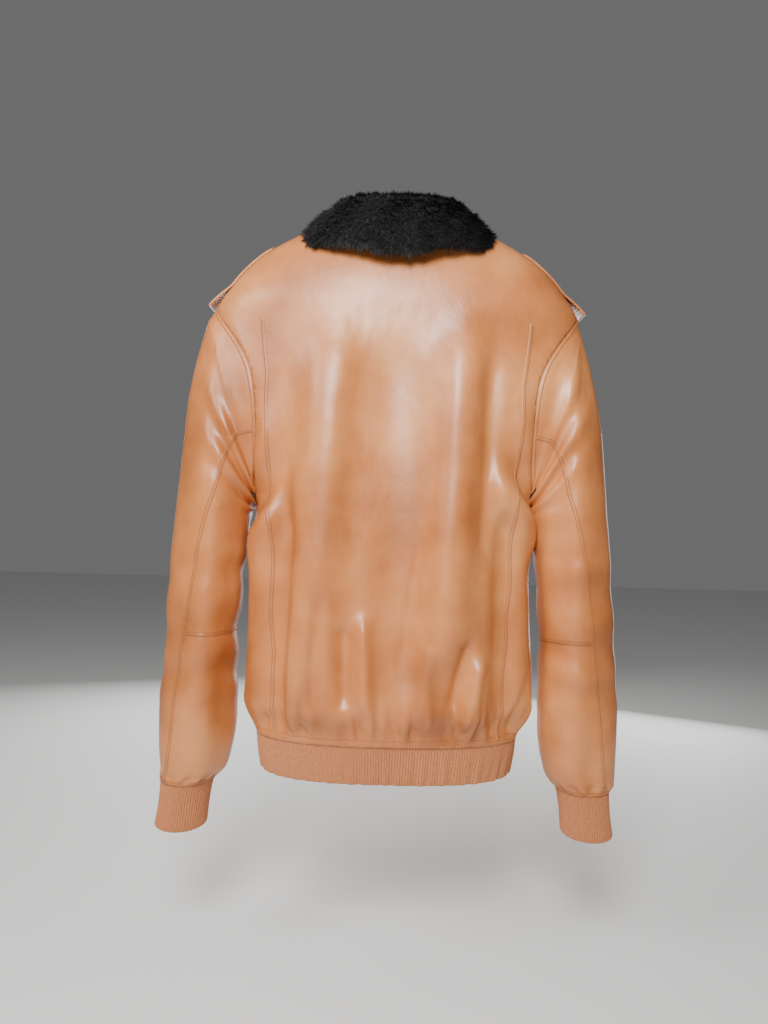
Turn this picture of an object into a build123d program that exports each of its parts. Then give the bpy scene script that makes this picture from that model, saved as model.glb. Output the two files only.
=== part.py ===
"""A leather flight jacket with a fur collar, hanging open by its shoulders.

Millimetres, +Z up. The front of the jacket faces -Y and the wearer's left is +X. The origin is the hanger
seat: the middle of the neck opening, level with the neck end of the shoulders, where the arms of a hanger
meet. The left half is modelled and the right half is its mirror image, apart from the zip's slider and box.
"""

import os
from math import copysign, cos, pi, sin

from build123d import *

# Driving dimensions of the shell, as rings (height, half width, depth to the back, depth to the front).
TORSO_RINGS = [
    (16, 80, 46, 42),
    (0, 110, 51, 46),
    (-37, 174, 62, 51),
    (-70, 206, 70, 55),
    (-110, 229, 76, 58.4),
    (-200, 209, 86, 60.4),
    (-330, 178, 96, 63.3),
    (-476, 180, 102, 66.5),
    (-590, 183, 104, 69.0),
    (-633, 165, 88, 69.9),
]
HEM_TOP, HEM_BOTTOM = -633, -679
HEM_RINGS = [(HEM_TOP, 165, 88, 69.9), (-655, 162, 85, 70.4), (HEM_BOTTOM, 157, 82, 70.9)]
COLLAR_RINGS = [
    (30, 78, 48, 42),
    (14, 98, 66, 56),
    (-10, 119, 80, 70),
    (-60, 142, 92, 80),
    (-125, 168, 100, 84),
]
STAND_RINGS = [(28, 62, 34, 28), (0, 70, 40, 40), (-74, 76, 42, 52)]

# The sleeve as tilted rings: outer edge (x, z), inner edge (x, z), half depth, middle's y.
SLEEVE_RINGS = [
    ((175, -88), (112, -322), 56, 0),
    ((233, -104), (170, -338), 58, 0),
    ((252, -170), (174, -345), 60, 0),
    ((264, -240), (178, -356), 61, 0),
    ((272, -330), (182, -372), 61, 0),
    ((278, -416), (188, -420), 60, 0),
    ((286, -534), (196, -534), 58, -3),
    ((292, -616), (196, -616), 56, -6),
    ((292, -680), (204, -680), 50, -8),
    ((288, -702), (220, -702), 42, -8),
]
CUFF_RINGS = [
    ((288, -702.3), (220, -702.3), 42, -8),
    ((290, -732), (226, -732), 40, -9),
    ((295, -762), (229, -762), 40, -10),
]

LEATHER = 1.6
LINING_GAP, LINING = 3.2, 1.2
KNIT = 3.0
FUR, UNDERCOLLAR = 11.0, 2.0
FAR = 1200  # larger than the jacket, for cutting blocks

# Seams. The back panel runs to the shoulder seam, and below the armhole's top it stops at the side panels.
SIDE_BACK_SEAM_X, SIDE_BACK_SEAM_TOP = 148, -140
SIDE_FRONT_SEAM_Y = -30
SLEEVE_SEAM_X, SLEEVE_SEAM_Z, SLEEVE_SEAM_SLOPE = 205, -330, 0.154
ELBOW_Z, ELBOW_HALF = -476, 58

# Front opening: each front turns about a slanted line from below the collar's wing to the hem.
EDGE_X = 28
FOLD_X, FOLD_Z, FOLD_SLOPE = 31, -116, 0.1723
FOLD_GAP = 3.0
NECK_HALF_WIDTH, NECK_TOP, NECK_FRONT_DROP, NECK_BACK_DROP = 79, 16, 86, 12

# Main zip: a straight line down the front edge.
ZIP_TOP, ZIP_BOTTOM = -119, -674
ZIP_TOP_Y, ZIP_SLOPE = -56.2, 0.022
TAPE_IN_X, TAPE_OUT_X, TAPE, TAPE_DEPTH = 22, 38, 0.6, 2.1
TOOTH_PITCH, TOOTH_LENGTH, TOOTH_WIDTH, TOOTH_THICKNESS = 4.0, 4.2, 2.2, 2.6
CORD = 2.0
SLIDER_LENGTH = 15

# Slanted hand pockets.
POCKET_TOP, POCKET_BOTTOM = (52, -65.9, -450), (74, -67.3, -580)
POCKET_MOUTH, POCKET_TOOTH, POCKET_CORD, POCKET_DEPTH = 12.6, 2.4, 1.2, 3.4
POCKET_STANDOFF = 1.9
BAG_SIDES, BAG_DEPTHS, BAG = (-15, 18), (7.0, 14.0), 1.0
WELT_WIDTH, WELT = 24, 1.6

# Hanger loop: its two sewn ends inside the back neck.
LOOP_X, LOOP_Y, LOOP_Z = 30, 44.6, -9

# Epaulettes: a strap along the shoulder from the armhole seam to a snap.
EPAULETTE_WIDTH, EPAULETTE = 40, 2.4
EPAULETTE_LINE = [(236.5, -101), (212, -63), (180, -31), (157, -17)]
SNAP_AT = 0.76  # share of the strap's length from the seam to the snap


def ring_wire(z, half_width, back, front, grow):
    """A closed smooth ring: rounder at the back, flatter at the front."""
    points = []
    count = 24
    for i in range(count):
        turn = 2 * pi * i / count - pi / 2
        c, s = cos(turn), sin(turn)
        c = 0.0 if abs(c) < 1e-9 else c
        power, depth = (2 / 2.5, back) if s > 0 else (2 / 3.0, front)
        x = (half_width + grow) * copysign(abs(c) ** power, c)
        y = (depth + grow) * copysign(abs(s) ** power, s)
        points.append((x, y, z))
    return Wire([Edge.make_spline(points, periodic=True)])


def rings_solid(rings, grow, extra=0.0):
    """A solid through the rings, moved out by grow, with its two ends extra further."""
    made = []
    for i, (z, half_width, back, front) in enumerate(rings):
        shift = extra if i == 0 else (-extra if i == len(rings) - 1 else 0)
        made.append(ring_wire(z + shift, half_width, back, front, grow))
    return Solid.make_loft(made)


def tilted_wire(outer, inner, half_depth, middle_y, grow):
    """An ellipse across the sleeve, from its outer edge to its inner edge."""
    dx, dz = outer[0] - inner[0], outer[1] - inner[1]
    half = (dx * dx + dz * dz) ** 0.5 / 2
    middle = ((outer[0] + inner[0]) / 2, middle_y, (outer[1] + inner[1]) / 2)
    plane = Plane(origin=middle, x_dir=(dx, 0, dz), z_dir=(dz, 0, -dx))
    return Wire([Edge.make_ellipse(half + grow, half_depth + grow, plane=plane)])


def sleeve_solid(rings, grow):
    return Solid.make_loft([tilted_wire(*ring, grow) for ring in rings])


def block(low, high):
    """A box from its lowest to its highest corner."""
    size = [b - a for a, b in zip(low, high)]
    return Pos(*low) * Box(*size, align=(Align.MIN, Align.MIN, Align.MIN))


def leaning_block(x, z, slope, outward=True):
    """Everything outboard (or inboard) of the plane through (x, z) that leans out by slope towards the hem."""
    plane = Plane(origin=(x, 0, z), x_dir=(1, 0, slope), z_dir=(-slope, 0, 1))
    side = Align.MIN if outward else Align.MAX
    return plane * Box(FAR, FAR, 2 * FAR, align=(side, Align.CENTER, Align.CENTER))


def mirrored(shape):
    return shape.mirror(Plane.YZ)


def write(name, shape):
    solids = shape.solids() if hasattr(shape, "solids") else shape
    kept = [s for s in solids if s.volume > 1.0]
    export_step(Compound(kept) if len(kept) > 1 else kept[0], f"parts/{name}.step")


def write_pair(name, shape):
    """The left piece and its mirror image."""
    write(f"{name}_left", shape)
    write(f"{name}_right", mirrored(shape))


def pocket_plane():
    """The pocket's own place on the left front: x across its mouth, y out of the jacket, z up along it."""
    top, bottom = Vector(*POCKET_TOP), Vector(*POCKET_BOTTOM)
    up = (top - bottom).normalized()
    across = Vector(-up.Z, 0, up.X).normalized() * -1
    return Plane(origin=(top + bottom) / 2, x_dir=across, z_dir=up), (top - bottom).length


def neck_hole():
    """What the neckline cuts away: a deep scoop in front and a shallow one behind."""
    front = Ellipse(NECK_HALF_WIDTH, NECK_FRONT_DROP)
    back = Ellipse(NECK_HALF_WIDTH, NECK_BACK_DROP)
    plane = Plane(origin=(0, 0, NECK_TOP), x_dir=(1, 0, 0), z_dir=(0, -1, 0))
    return extrude(plane * front, amount=FAR / 4) + extrude(plane * back, amount=-FAR / 4)


def shell(rings, outside, inside):
    """The left half of a skin between two distances from the rings."""
    return (rings_solid(rings, outside) & left) - rings_solid(rings, inside, extra=0.5)


def whole(shape):
    """A left half joined to its mirror image."""
    return shape + mirrored(shape)


def write_whole(name, shape):
    write(name, whole(shape))


left = block((0, -FAR, -FAR), (FAR, FAR, FAR))
outboard = leaning_block(FOLD_X, FOLD_Z, FOLD_SLOPE)
inboard = leaning_block(FOLD_X - FOLD_GAP, FOLD_Z, FOLD_SLOPE, outward=False)
left_front_side = block((EDGE_X, -FAR, -FAR), (FAR, -0.5, FAR))
swinging = inboard & left_front_side
behind = block((-1, 0, -FAR), (FAR, FAR, FAR))
tab_place = block((EDGE_X, -FAR, -FAR), (TAPE_OUT_X + 2, 0, HEM_TOP + 0.5))


def stay(piece):
    """The share of a left half that doesn't swing with the front."""
    return piece & (behind + outboard)


def torso_panels():
    """Back, side and front leather, each a shell cut out of one smooth skin with the armholes open."""
    skin = shell(TORSO_RINGS, 0, -LEATHER) - neck_hole() - sleeve_solid(SLEEVE_RINGS, -LEATHER)
    below = block((SIDE_BACK_SEAM_X, SIDE_FRONT_SEAM_Y, -FAR), (FAR, FAR, SIDE_BACK_SEAM_TOP))
    write_whole("back_panel", (skin & behind) - below)
    write_pair("side_panel", skin & below)
    front = (skin - behind) - below
    write_pair("front_side", front & outboard)
    plane, length = pocket_plane()
    mouth = plane * Box(POCKET_MOUTH, 40, length)
    mouth += plane * Pos(0, -WELT / 2, 0) * Box(WELT_WIDTH + 0.3, WELT, length + 14.3)
    zip_room = Box(WELT_WIDTH + 0.6, 20, length, align=(Align.CENTER, Align.MIN, Align.CENTER))
    mouth += plane * Pos(0, POCKET_DEPTH - TAPE / 2 - 0.3, 0) * zip_room
    tab = (shell(HEM_RINGS, 0, -LEATHER) - behind) & tab_place
    write_pair("front_panel", Compound(((front & swinging) - mouth).solids() + tab.solids()))


def linings():
    """Body lining, the leather facings inside the front edges and the one inside the back neck."""
    inside = LINING_GAP + LINING
    skin = shell(TORSO_RINGS, -LINING_GAP, -inside) - neck_hole() - sleeve_solid(SLEEVE_RINGS, -inside)
    neck_piece = block((-1, 1, -62), (100, FAR, FAR))
    front = skin - behind
    write_whole("neck_facing", skin & neck_piece)
    write_whole("lining_body", stay(skin) - neck_piece)
    plane, length = pocket_plane()
    front = (front & swinging) - plane * Box(POCKET_MOUTH + 12, 40, length + 12)
    facing = block((EDGE_X, -FAR, -FAR), (TAPE_OUT_X + 1, 0, FAR))
    write_pair("front_facing", front & facing)
    write_pair("lining_front", front - facing)


def hem_bands():
    band = shell(HEM_RINGS, 0, -KNIT)
    write_whole("hem_band_back", stay(band))
    write_pair("hem_band", ((band - behind) & swinging) - tab_place)


def collar():
    """Turned-down fur collar, the leather undercollar behind it and the stand round the neck."""
    plane = Plane(origin=(0, 90, -55), x_dir=(1, 0, 0), z_dir=(0, -0.335, 1))
    keep = plane * Box(FAR, FAR, FAR, align=(Align.CENTER, Align.CENTER, Align.MIN))
    keep = keep - block((-1, -FAR, -FAR), (EDGE_X, 0, FAR))
    torso = rings_solid(TORSO_RINGS, 0.6)
    write_whole("fur_collar", (shell(COLLAR_RINGS, 0, -FUR) & keep) - torso)
    under = (shell(COLLAR_RINGS, -FUR - 0.2, -FUR - UNDERCOLLAR) & keep) - torso
    stand = (shell(STAND_RINGS, 0, -UNDERCOLLAR) & neck_hole() & keep) - torso
    write("undercollar", Compound(whole(under).solids() + whole(stand).solids()))


def sleeves():
    """Top and under sleeves, split above and below the elbow, their linings and knitted cuffs."""
    torso = rings_solid(TORSO_RINGS, 0.3)
    torso_inside = rings_solid(TORSO_RINGS, -LINING_GAP)
    tube = (sleeve_solid(SLEEVE_RINGS, 0) - sleeve_solid(SLEEVE_RINGS, -LEATHER)) - torso
    inner = sleeve_solid(SLEEVE_RINGS, -LINING_GAP) - sleeve_solid(SLEEVE_RINGS, -LINING_GAP - LINING)
    inner = inner - torso_inside
    over = leaning_block(SLEEVE_SEAM_X, SLEEVE_SEAM_Z, SLEEVE_SEAM_SLOPE)
    above = block((-FAR, -FAR, ELBOW_Z + ELBOW_HALF), (FAR, FAR, FAR))
    below = block((-FAR, -FAR, -FAR), (FAR, FAR, ELBOW_Z - ELBOW_HALF))
    write_pair("top_sleeve", tube & above & over)
    write_pair("under_sleeve", (tube & above) - over)
    write_pair("top_sleeve_lower", tube & below & over)
    write_pair("under_sleeve_lower", (tube & below) - over)
    write_pair("sleeve_lining", inner & above)
    write_pair("sleeve_lining_lower", inner & below)
    write_pair("elbow_fold", Compound(((tube - above - below).solids()) + ((inner - above - below).solids())))
    write_pair("cuff", sleeve_solid(CUFF_RINGS, 0) - sleeve_solid(CUFF_RINGS, -KNIT))


def hanger_loop():
    """A rolled leather loop sewn inside the back neck, bowed forwards so that a hook goes up through it."""
    path = Edge.make_three_point_arc((-LOOP_X, LOOP_Y, LOOP_Z), (0, 27, LOOP_Z), (LOOP_X, LOOP_Y, LOOP_Z))
    start = Plane(origin=path @ 0, z_dir=path % 0)
    write("hanger_loop", sweep(start * Circle(2.2), path=path))


def tooth_comb(length, tooth, cord):
    """A row of teeth on a cord, as one solid, in the plane of the tape: teeth point to -X, row down -Z."""
    outline = [(0, 0)]
    for i in range(int(length / TOOTH_PITCH)):
        top = -i * TOOTH_PITCH - (TOOTH_PITCH - TOOTH_WIDTH) / 2
        outline += [(0, top), (-tooth, top), (-tooth, top - TOOTH_WIDTH), (0, top - TOOTH_WIDTH)]
    outline += [(0, -length), (cord, -length), (cord, 0), (0, 0)]
    comb = Plane.XZ * make_face(Polyline(*outline))
    return Pos(0, TOOTH_THICKNESS / 2, 0) * extrude(comb, amount=TOOTH_THICKNESS)


def zip_frame():
    """The main zip's own place: its z runs up the zip, and its x outwards."""
    return Plane(origin=(0, ZIP_TOP_Y, ZIP_TOP), x_dir=(1, 0, 0), z_dir=(0, ZIP_SLOPE, 1))


def main_zip():
    """Two tapes inside the front edges with their teeth, and the box and pin that end them."""
    length = ZIP_TOP - ZIP_BOTTOM
    place = zip_frame()
    strip = block((TAPE_IN_X + CORD + 0.1, -FAR, HEM_TOP), (TAPE_OUT_X, 0, ZIP_TOP))
    write_pair("zip_tape", shell(TORSO_RINGS, -TAPE_DEPTH, -TAPE_DEPTH - TAPE) & swinging & strip)
    comb = place * Pos(TAPE_IN_X, 0, 0) * tooth_comb(length - 10, TOOTH_LENGTH, CORD)
    pin = place * block((TAPE_IN_X - 3, -1.2, -length - 3), (TAPE_IN_X + 2, 1.2, -length + 9.6))
    write("zip_teeth_left", Compound([comb.solid(), pin.solid()]))
    box = place * block((TAPE_IN_X - 9, -2.8, -length - 4), (TAPE_IN_X + 2, 2.8, -length + 9.6))
    write("zip_teeth_right", Compound([mirrored(comb).solid(), mirrored(box).solid()]))


def slider_body(row_gap, tooth, cord, standoff=0.0):
    """A slider in its own frame: z along the zip, y towards the back. Two plates, a post and a bridge.

    row_gap is the distance between the two rows' tooth tips, which run either side of the post.
    standoff raises the bridge's bar, so that the pull clears what the slider is sunk in.
    """
    reach = row_gap / 2 + tooth + cord
    half = SLIDER_LENGTH / 2
    channel = TOOTH_THICKNESS / 2 + 0.4
    body = Box(2 * reach + 2.9, 2 * channel + 2.4, SLIDER_LENGTH)
    body = fillet(body.edges().filter_by(Axis.Y), 2.0)
    body -= Box(2 * reach + 0.8, 2 * channel, SLIDER_LENGTH + 1)
    body -= Box(2 * reach + 9, TAPE + 2.2, SLIDER_LENGTH + 1)
    post = Pos(0, 0, half - 3.5) * Box(max(row_gap - 1.2, 0.8), 2 * channel + 1, 5)
    front = -(channel + 1.2)
    bar_y = front - 1.5 - standoff
    legs = Pos(0, front - 1.6 - standoff / 2, 1.0) * Box(1.8, 4.0 + standoff, 9)
    legs -= Pos(0, bar_y, 1.0) * Box(3, 2.0, 4.4)
    return body + post + legs, bar_y


def pull_tab(length):
    """A flat tab hanging from the slider's bridge by its upper bar, whose middle is the origin."""
    thickness = 1.3
    top = 0.4
    tab = Pos(0, 0, top - length / 2) * Box(7.5, thickness, length)
    tab = fillet(tab.edges().filter_by(Axis.Y), 1.6)
    tab -= Pos(0, 0, top - 0.8 - 2.9) * Box(2.6, 4, 5.8)
    tab -= Pos(0, 0, top - length + 5) * extrude(Plane.XZ * Circle(1.4), amount=3, both=True)
    return tab


def main_slider():
    length = ZIP_TOP - ZIP_BOTTOM
    gap = 4.0
    body, bar_y = slider_body(gap, TOOTH_LENGTH, CORD)
    middle_x = -(TAPE_IN_X - TOOTH_LENGTH) + gap / 2
    rest = zip_frame() * Pos(middle_x, 0, -length + 10 + SLIDER_LENGTH / 2 + 0.6)
    write("zip_slider", rest * body)
    write("zip_pull", rest * Pos(0, bar_y, 0) * pull_tab(30))


def pockets():
    """Slanted pockets: a welt frame, a short zip with its slider and pull, and the bag inside."""
    plane, length = pocket_plane()
    frame = Box(WELT_WIDTH, WELT, length + 14) - Box(POCKET_MOUTH, WELT + 2, length)
    write_pair("pocket_welt", plane * Pos(0, -WELT / 2, 0) * frame)
    gap = 1.6
    row = length - 2
    start = gap / 2 + POCKET_TOOTH
    comb = Pos(start, 0, row / 2) * tooth_comb(row, POCKET_TOOTH, POCKET_CORD)
    tape = block((start + POCKET_CORD + 0.1, -TAPE / 2, -row / 2), (WELT_WIDTH / 2, TAPE / 2, row / 2))
    side = Compound([comb.solid(), tape.solid()])
    place = plane * Pos(0, POCKET_DEPTH, 0)
    write_pair("pocket_zip", place * Compound(side.solids() + mirrored(side).solids()))
    body, bar_y = slider_body(gap, POCKET_TOOTH, POCKET_CORD, POCKET_STANDOFF)
    rest = place * Pos(0, 0, row / 2 - SLIDER_LENGTH / 2 - 1)
    write_pair("pocket_slider", rest * body)
    write_pair("pocket_pull", rest * Pos(0, bar_y, 0) * pull_tab(22))
    low = (BAG_SIDES[0], BAG_DEPTHS[0], -length / 2 - 22)
    high = (BAG_SIDES[1], BAG_DEPTHS[1], length / 2 + 8)
    bag = block(low, high) - block([a + BAG for a in low], [b - BAG for b in high])
    write_pair("pocket_bag", plane * (bag - Pos(0, BAG_DEPTHS[0], 0) * Box(POCKET_MOUTH, 4, length - 4)))


def epaulettes():
    """Shoulder straps: leather, pointed at the neck end, with a snap cap on each and its stud below."""
    line = Edge.make_spline([(x, 0, z) for x, z in EPAULETTE_LINE])
    lower = Wire([line])
    tip = line @ 1
    strip = offset_strip(line, EPAULETTE)
    strap = extrude(strip, amount=EPAULETTE_WIDTH / 2, both=True)
    half = EPAULETTE_WIDTH / 2
    for side in (1, -1):
        corner = make_face(
            Polyline((tip.X - 4, side * 2), (tip.X - 4, side * (half + 4)), (tip.X + 16, side * (half + 4)),
                     (tip.X + 16, side * half), (tip.X - 4, side * 2))
        )
        strap -= Pos(0, 0, -FAR / 4) * extrude(corner, amount=FAR / 2)
    write_pair("epaulette", strap)
    at, along = line @ SNAP_AT, line % SNAP_AT
    up = Vector(-along.Z, 0, along.X) if along.X > 0 else Vector(along.Z, 0, -along.X)
    seat = Plane(origin=at + up * EPAULETTE, z_dir=up)
    cap = extrude(seat * Circle(6.2), amount=3.4)
    cap = fillet(cap.edges().group_by(SortBy.LENGTH)[-1].sort_by(Axis.Z)[-1:], 1.6)
    write_pair("epaulette_cap", cap)
    below = Plane(origin=at - up * 0.4, z_dir=-up)
    stud = extrude(below * Circle(4.0), amount=2.2)
    write("epaulette_studs", Compound([stud.solid(), mirrored(stud).solid()]))


def offset_strip(line, thickness):
    """The face between a line in the XZ plane and the same line moved outwards by thickness."""
    count = 9
    inner, outer = [], []
    for i in range(count):
        at, along = line @ (i / (count - 1)), line % (i / (count - 1))
        up = Vector(-along.Z, 0, along.X)
        if up.Z < 0:
            up = -up
        inner.append(at)
        outer.append(at + up * thickness)
    edges = [
        Edge.make_spline(inner),
        Edge.make_line(inner[-1], outer[-1]),
        Edge.make_spline(list(reversed(outer))),
        Edge.make_line(outer[0], inner[0]),
    ]
    return Face(Wire(edges))


os.makedirs("parts", exist_ok=True)
torso_panels()
linings()
hem_bands()
collar()
sleeves()
hanger_loop()
main_zip()
main_slider()
pockets()
epaulettes()
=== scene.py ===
"""The looks of a leather flight jacket with a fur collar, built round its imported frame.

Metres, +Z up, the front faces -Y and the wearer's left is +X. Leather and linings are grids of points on the
frame's own surfaces. Cloth simulation folds them, with their seams, edges and bands held still.
"""

import math

import bpy
import numpy as np
from mathutils import Euler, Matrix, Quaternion, Vector


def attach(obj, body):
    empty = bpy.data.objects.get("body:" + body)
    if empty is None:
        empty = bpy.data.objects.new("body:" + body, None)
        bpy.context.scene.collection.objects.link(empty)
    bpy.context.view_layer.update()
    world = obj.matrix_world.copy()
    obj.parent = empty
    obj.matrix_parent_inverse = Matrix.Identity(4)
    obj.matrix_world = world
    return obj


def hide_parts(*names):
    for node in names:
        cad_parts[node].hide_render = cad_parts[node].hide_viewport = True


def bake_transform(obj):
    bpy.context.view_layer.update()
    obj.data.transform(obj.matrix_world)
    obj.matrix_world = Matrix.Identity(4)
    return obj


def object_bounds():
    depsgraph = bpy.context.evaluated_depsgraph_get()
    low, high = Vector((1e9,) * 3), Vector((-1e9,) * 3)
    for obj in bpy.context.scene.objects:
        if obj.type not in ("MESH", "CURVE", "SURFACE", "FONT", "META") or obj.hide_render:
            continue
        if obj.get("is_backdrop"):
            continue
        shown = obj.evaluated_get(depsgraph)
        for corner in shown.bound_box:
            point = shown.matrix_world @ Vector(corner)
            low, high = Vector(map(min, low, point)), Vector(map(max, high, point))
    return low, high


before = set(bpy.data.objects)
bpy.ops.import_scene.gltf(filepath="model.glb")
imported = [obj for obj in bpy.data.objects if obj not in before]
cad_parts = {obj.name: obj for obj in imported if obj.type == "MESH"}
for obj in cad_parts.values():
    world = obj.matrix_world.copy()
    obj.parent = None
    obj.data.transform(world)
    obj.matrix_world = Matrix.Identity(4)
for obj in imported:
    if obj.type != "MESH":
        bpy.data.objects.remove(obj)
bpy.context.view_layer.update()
rng = np.random.default_rng(11)
MM = 0.001

# ---------------------------------------------------------------- driving dimensions, in millimetres
TORSO_RINGS = [  # height, half width, depth to the back, depth to the front
    (16, 80, 46, 42),
    (0, 110, 51, 46),
    (-37, 174, 62, 51),
    (-70, 206, 70, 55),
    (-110, 229, 76, 58.4),
    (-200, 209, 86, 60.4),
    (-330, 178, 96, 63.3),
    (-476, 180, 102, 66.5),
    (-590, 183, 104, 69.0),
    (-633, 165, 88, 69.9),
    (-655, 162, 85, 70.4),
    (-679, 157, 82, 70.9),
]
COLLAR_RINGS = [
    (30, 78, 48, 42),
    (14, 98, 66, 56),
    (-10, 119, 80, 70),
    (-60, 142, 92, 80),
    (-125, 168, 100, 84),
]
STAND_RINGS = [(28, 62, 34, 28), (0, 70, 40, 40), (-74, 76, 42, 52)]
SLEEVE_RINGS = [  # outer edge x and z, inner edge x and z, half depth, middle's y
    (233, -104, 170, -338, 58, 0),
    (252, -170, 174, -345, 60, 0),
    (264, -240, 178, -356, 61, 0),
    (272, -330, 182, -372, 61, 0),
    (278, -416, 188, -420, 60, 0),
    (286, -534, 196, -534, 58, -3),
    (292, -616, 196, -616, 56, -6),
    (292, -680, 204, -680, 50, -8),
    (288, -702, 220, -702, 42, -8),
    (290, -732, 226, -732, 40, -9),
    (295, -762, 229, -762, 40, -10),
]
CUFF_AT = 8 / 10  # the sleeve's share of rings where its leather ends and the cuff begins
HEM_TOP, HEM_BOTTOM = -633, -679
EDGE_X = 28
ARM_MIDDLE, ARM_HALF, ARM_DEPTH = np.array([201.5, 0.0, -221.0]), 121.2, 58.0
ARM_LONG = np.array([63.0, 0.0, 234.0]) / 242.3
ARM_ALONG = np.array([58.0, 0.0, -16.0]) / 60.2
FOLD_TOP, FOLD_END = np.array([29.5, -62.5, -116.0]), np.array([126.5, -66.0, -679.0])
POCKET_TOP, POCKET_BOTTOM = np.array([52, -65.9, -450.0]), np.array([74, -67.3, -580.0])
POCKET_HALF = 17  # half the width of the flat ground round a pocket
PLACKET, PLACKET_FADE = 40, 12  # the flat strip beside the front edges, and where the folds begin past it
LEATHER, LINING, LINING_IN = 1.5, 0.7, 4.0
BACK_POWER, FRONT_POWER = 2.5, 3.0  # how square the rings are
FRONT_COLUMNS, BACK_COLUMNS, ROWS = 36, 76, 104
FACING_COLUMNS = 6
SLEEVE_COLUMNS, SLEEVE_ROWS, CAP_ROWS, CAP_END = 60, 104, 10, 0.02
ELBOW_SHARE = 0.62
OVER_Y = np.array([0, 1.0, 0])
SIDES = (("left", 1), ("right", -1))


# ---------------------------------------------------------------- curves and surfaces
def monotone(xs, ys, x):
    """Smooth interpolation that never overshoots its points."""
    xs, ys, x = np.asarray(xs, float), np.asarray(ys, float), np.asarray(x, float)
    if xs[0] > xs[-1]:
        xs, ys = xs[::-1], ys[::-1]
    h, d = np.diff(xs), np.diff(ys) / np.diff(xs)
    m = np.zeros(len(xs))
    same = d[:-1] * d[1:] > 0
    w1, w2 = 2 * h[1:] + h[:-1], h[1:] + 2 * h[:-1]
    m[1:-1][same] = (w1 + w2)[same] / (w1 / np.where(same, d[:-1], 1) + w2 / np.where(same, d[1:], 1))[same]
    m[0], m[-1] = d[0], d[-1]
    x = np.clip(x, xs[0], xs[-1])
    i = np.clip(np.searchsorted(xs, x) - 1, 0, len(h) - 1)
    t = (x - xs[i]) / h[i]
    a, b = (1 + 2 * t) * (1 - t) ** 2, t * (1 - t) ** 2
    c, e = t * t * (3 - 2 * t), t * t * (t - 1)
    return a * ys[i] + b * h[i] * m[i] + c * ys[i + 1] + e * h[i] * m[i + 1]


def ring_at(rings, z):
    """Half width, depth to the back and depth to the front at a height."""
    columns = list(zip(*rings))
    return [monotone(columns[0], column, z) for column in columns[1:]]


def ring_points(half, back, front, turn):
    """Points on a ring; turn 0 is the left side, a quarter turn is the back."""
    c, s = np.cos(turn), np.sin(turn)
    power = np.where(s > 0, 2 / BACK_POWER, 2 / FRONT_POWER)
    x = half * np.sign(c) * np.abs(c) ** power
    y = np.where(s > 0, back, front) * np.sign(s) * np.abs(s) ** power
    return np.stack([x, y], -1)


def unit(vectors, least=0.0):
    """Rows of vectors brought to length 1."""
    size = np.linalg.norm(vectors, axis=-1, keepdims=True)
    return vectors / (np.maximum(size, least) if least else size)


def lengths_along(points):
    """The distance along a polyline at each of its points."""
    return np.concatenate([[0], np.cumsum(np.linalg.norm(np.diff(points, axis=0), axis=1))])


def spread(points, count):
    """count points at equal steps along a polyline."""
    along = lengths_along(points)
    at = np.linspace(0, along[-1], count)
    return np.stack([np.interp(at, along, points[:, k]) for k in range(points.shape[1])], -1)


def open_ring(rings, z, grow, front_count, back_count):
    """A ring from the left front edge round the back to the right front edge."""
    half, back, front = ring_at(rings, z)
    half, back, front = half + grow, back + grow, front + grow
    side = ring_points(half, back, front, np.linspace(-math.pi / 2, 0, 500))
    side = side[side[:, 0] >= EDGE_X]
    side = np.vstack([[EDGE_X, side[0, 1]], side])
    left = spread(side, front_count + 1)
    rear = spread(ring_points(half, back, front, np.linspace(0, math.pi, 900)), back_count + 1)
    right = left[::-1] * [-1, 1]
    ring = np.vstack([left, rear[1:], right[1:]])
    return np.column_stack([ring, np.full(len(ring), float(z))])


class Surface:
    """A skin through rings, looked up by column (0 to its last) and height."""

    def __init__(self, rings, grow=0.0, top=16, bottom=-679, front=FRONT_COLUMNS, back=BACK_COLUMNS):
        self.levels = np.linspace(bottom, top, 240)
        self.table = np.array([open_ring(rings, z, grow, front, back) for z in self.levels])
        self.columns = self.table.shape[1]

    def __call__(self, column, z):
        column, z = np.broadcast_arrays(np.asarray(column, float), np.asarray(z, float))
        c = np.clip(column, 0, self.columns - 1)
        i = np.minimum(c.astype(int), self.columns - 2)
        f = (c - i)[..., None]
        step = self.levels[1] - self.levels[0]
        r = np.clip((z - self.levels[0]) / step, 0, len(self.levels) - 1)
        j = np.minimum(r.astype(int), len(self.levels) - 2)
        g = (r - j)[..., None]
        low = self.table[j, i] * (1 - f) + self.table[j, i + 1] * f
        high = self.table[j + 1, i] * (1 - f) + self.table[j + 1, i + 1] * f
        return low * (1 - g) + high * g


def normals_of(grid, closed=False):
    """Outward unit normals of a grid whose rows go down and whose columns go from left round the back."""
    if closed:
        across = np.roll(grid, -1, 1) - np.roll(grid, 1, 1)
    else:
        across = np.gradient(grid, axis=1)
    return unit(np.cross(np.gradient(grid, axis=0), across), 1e-9)


def bump(value, middle, width):
    """A bell: 1 at its middle."""
    return np.exp(-(((value - middle) / width) ** 2))


def moving_mean(values, reach):
    """The mean of each value and its neighbours up to reach steps away."""
    count = 2 * reach + 1
    return np.convolve(np.pad(values, reach, "edge"), np.ones(count) / count, "valid")


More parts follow.
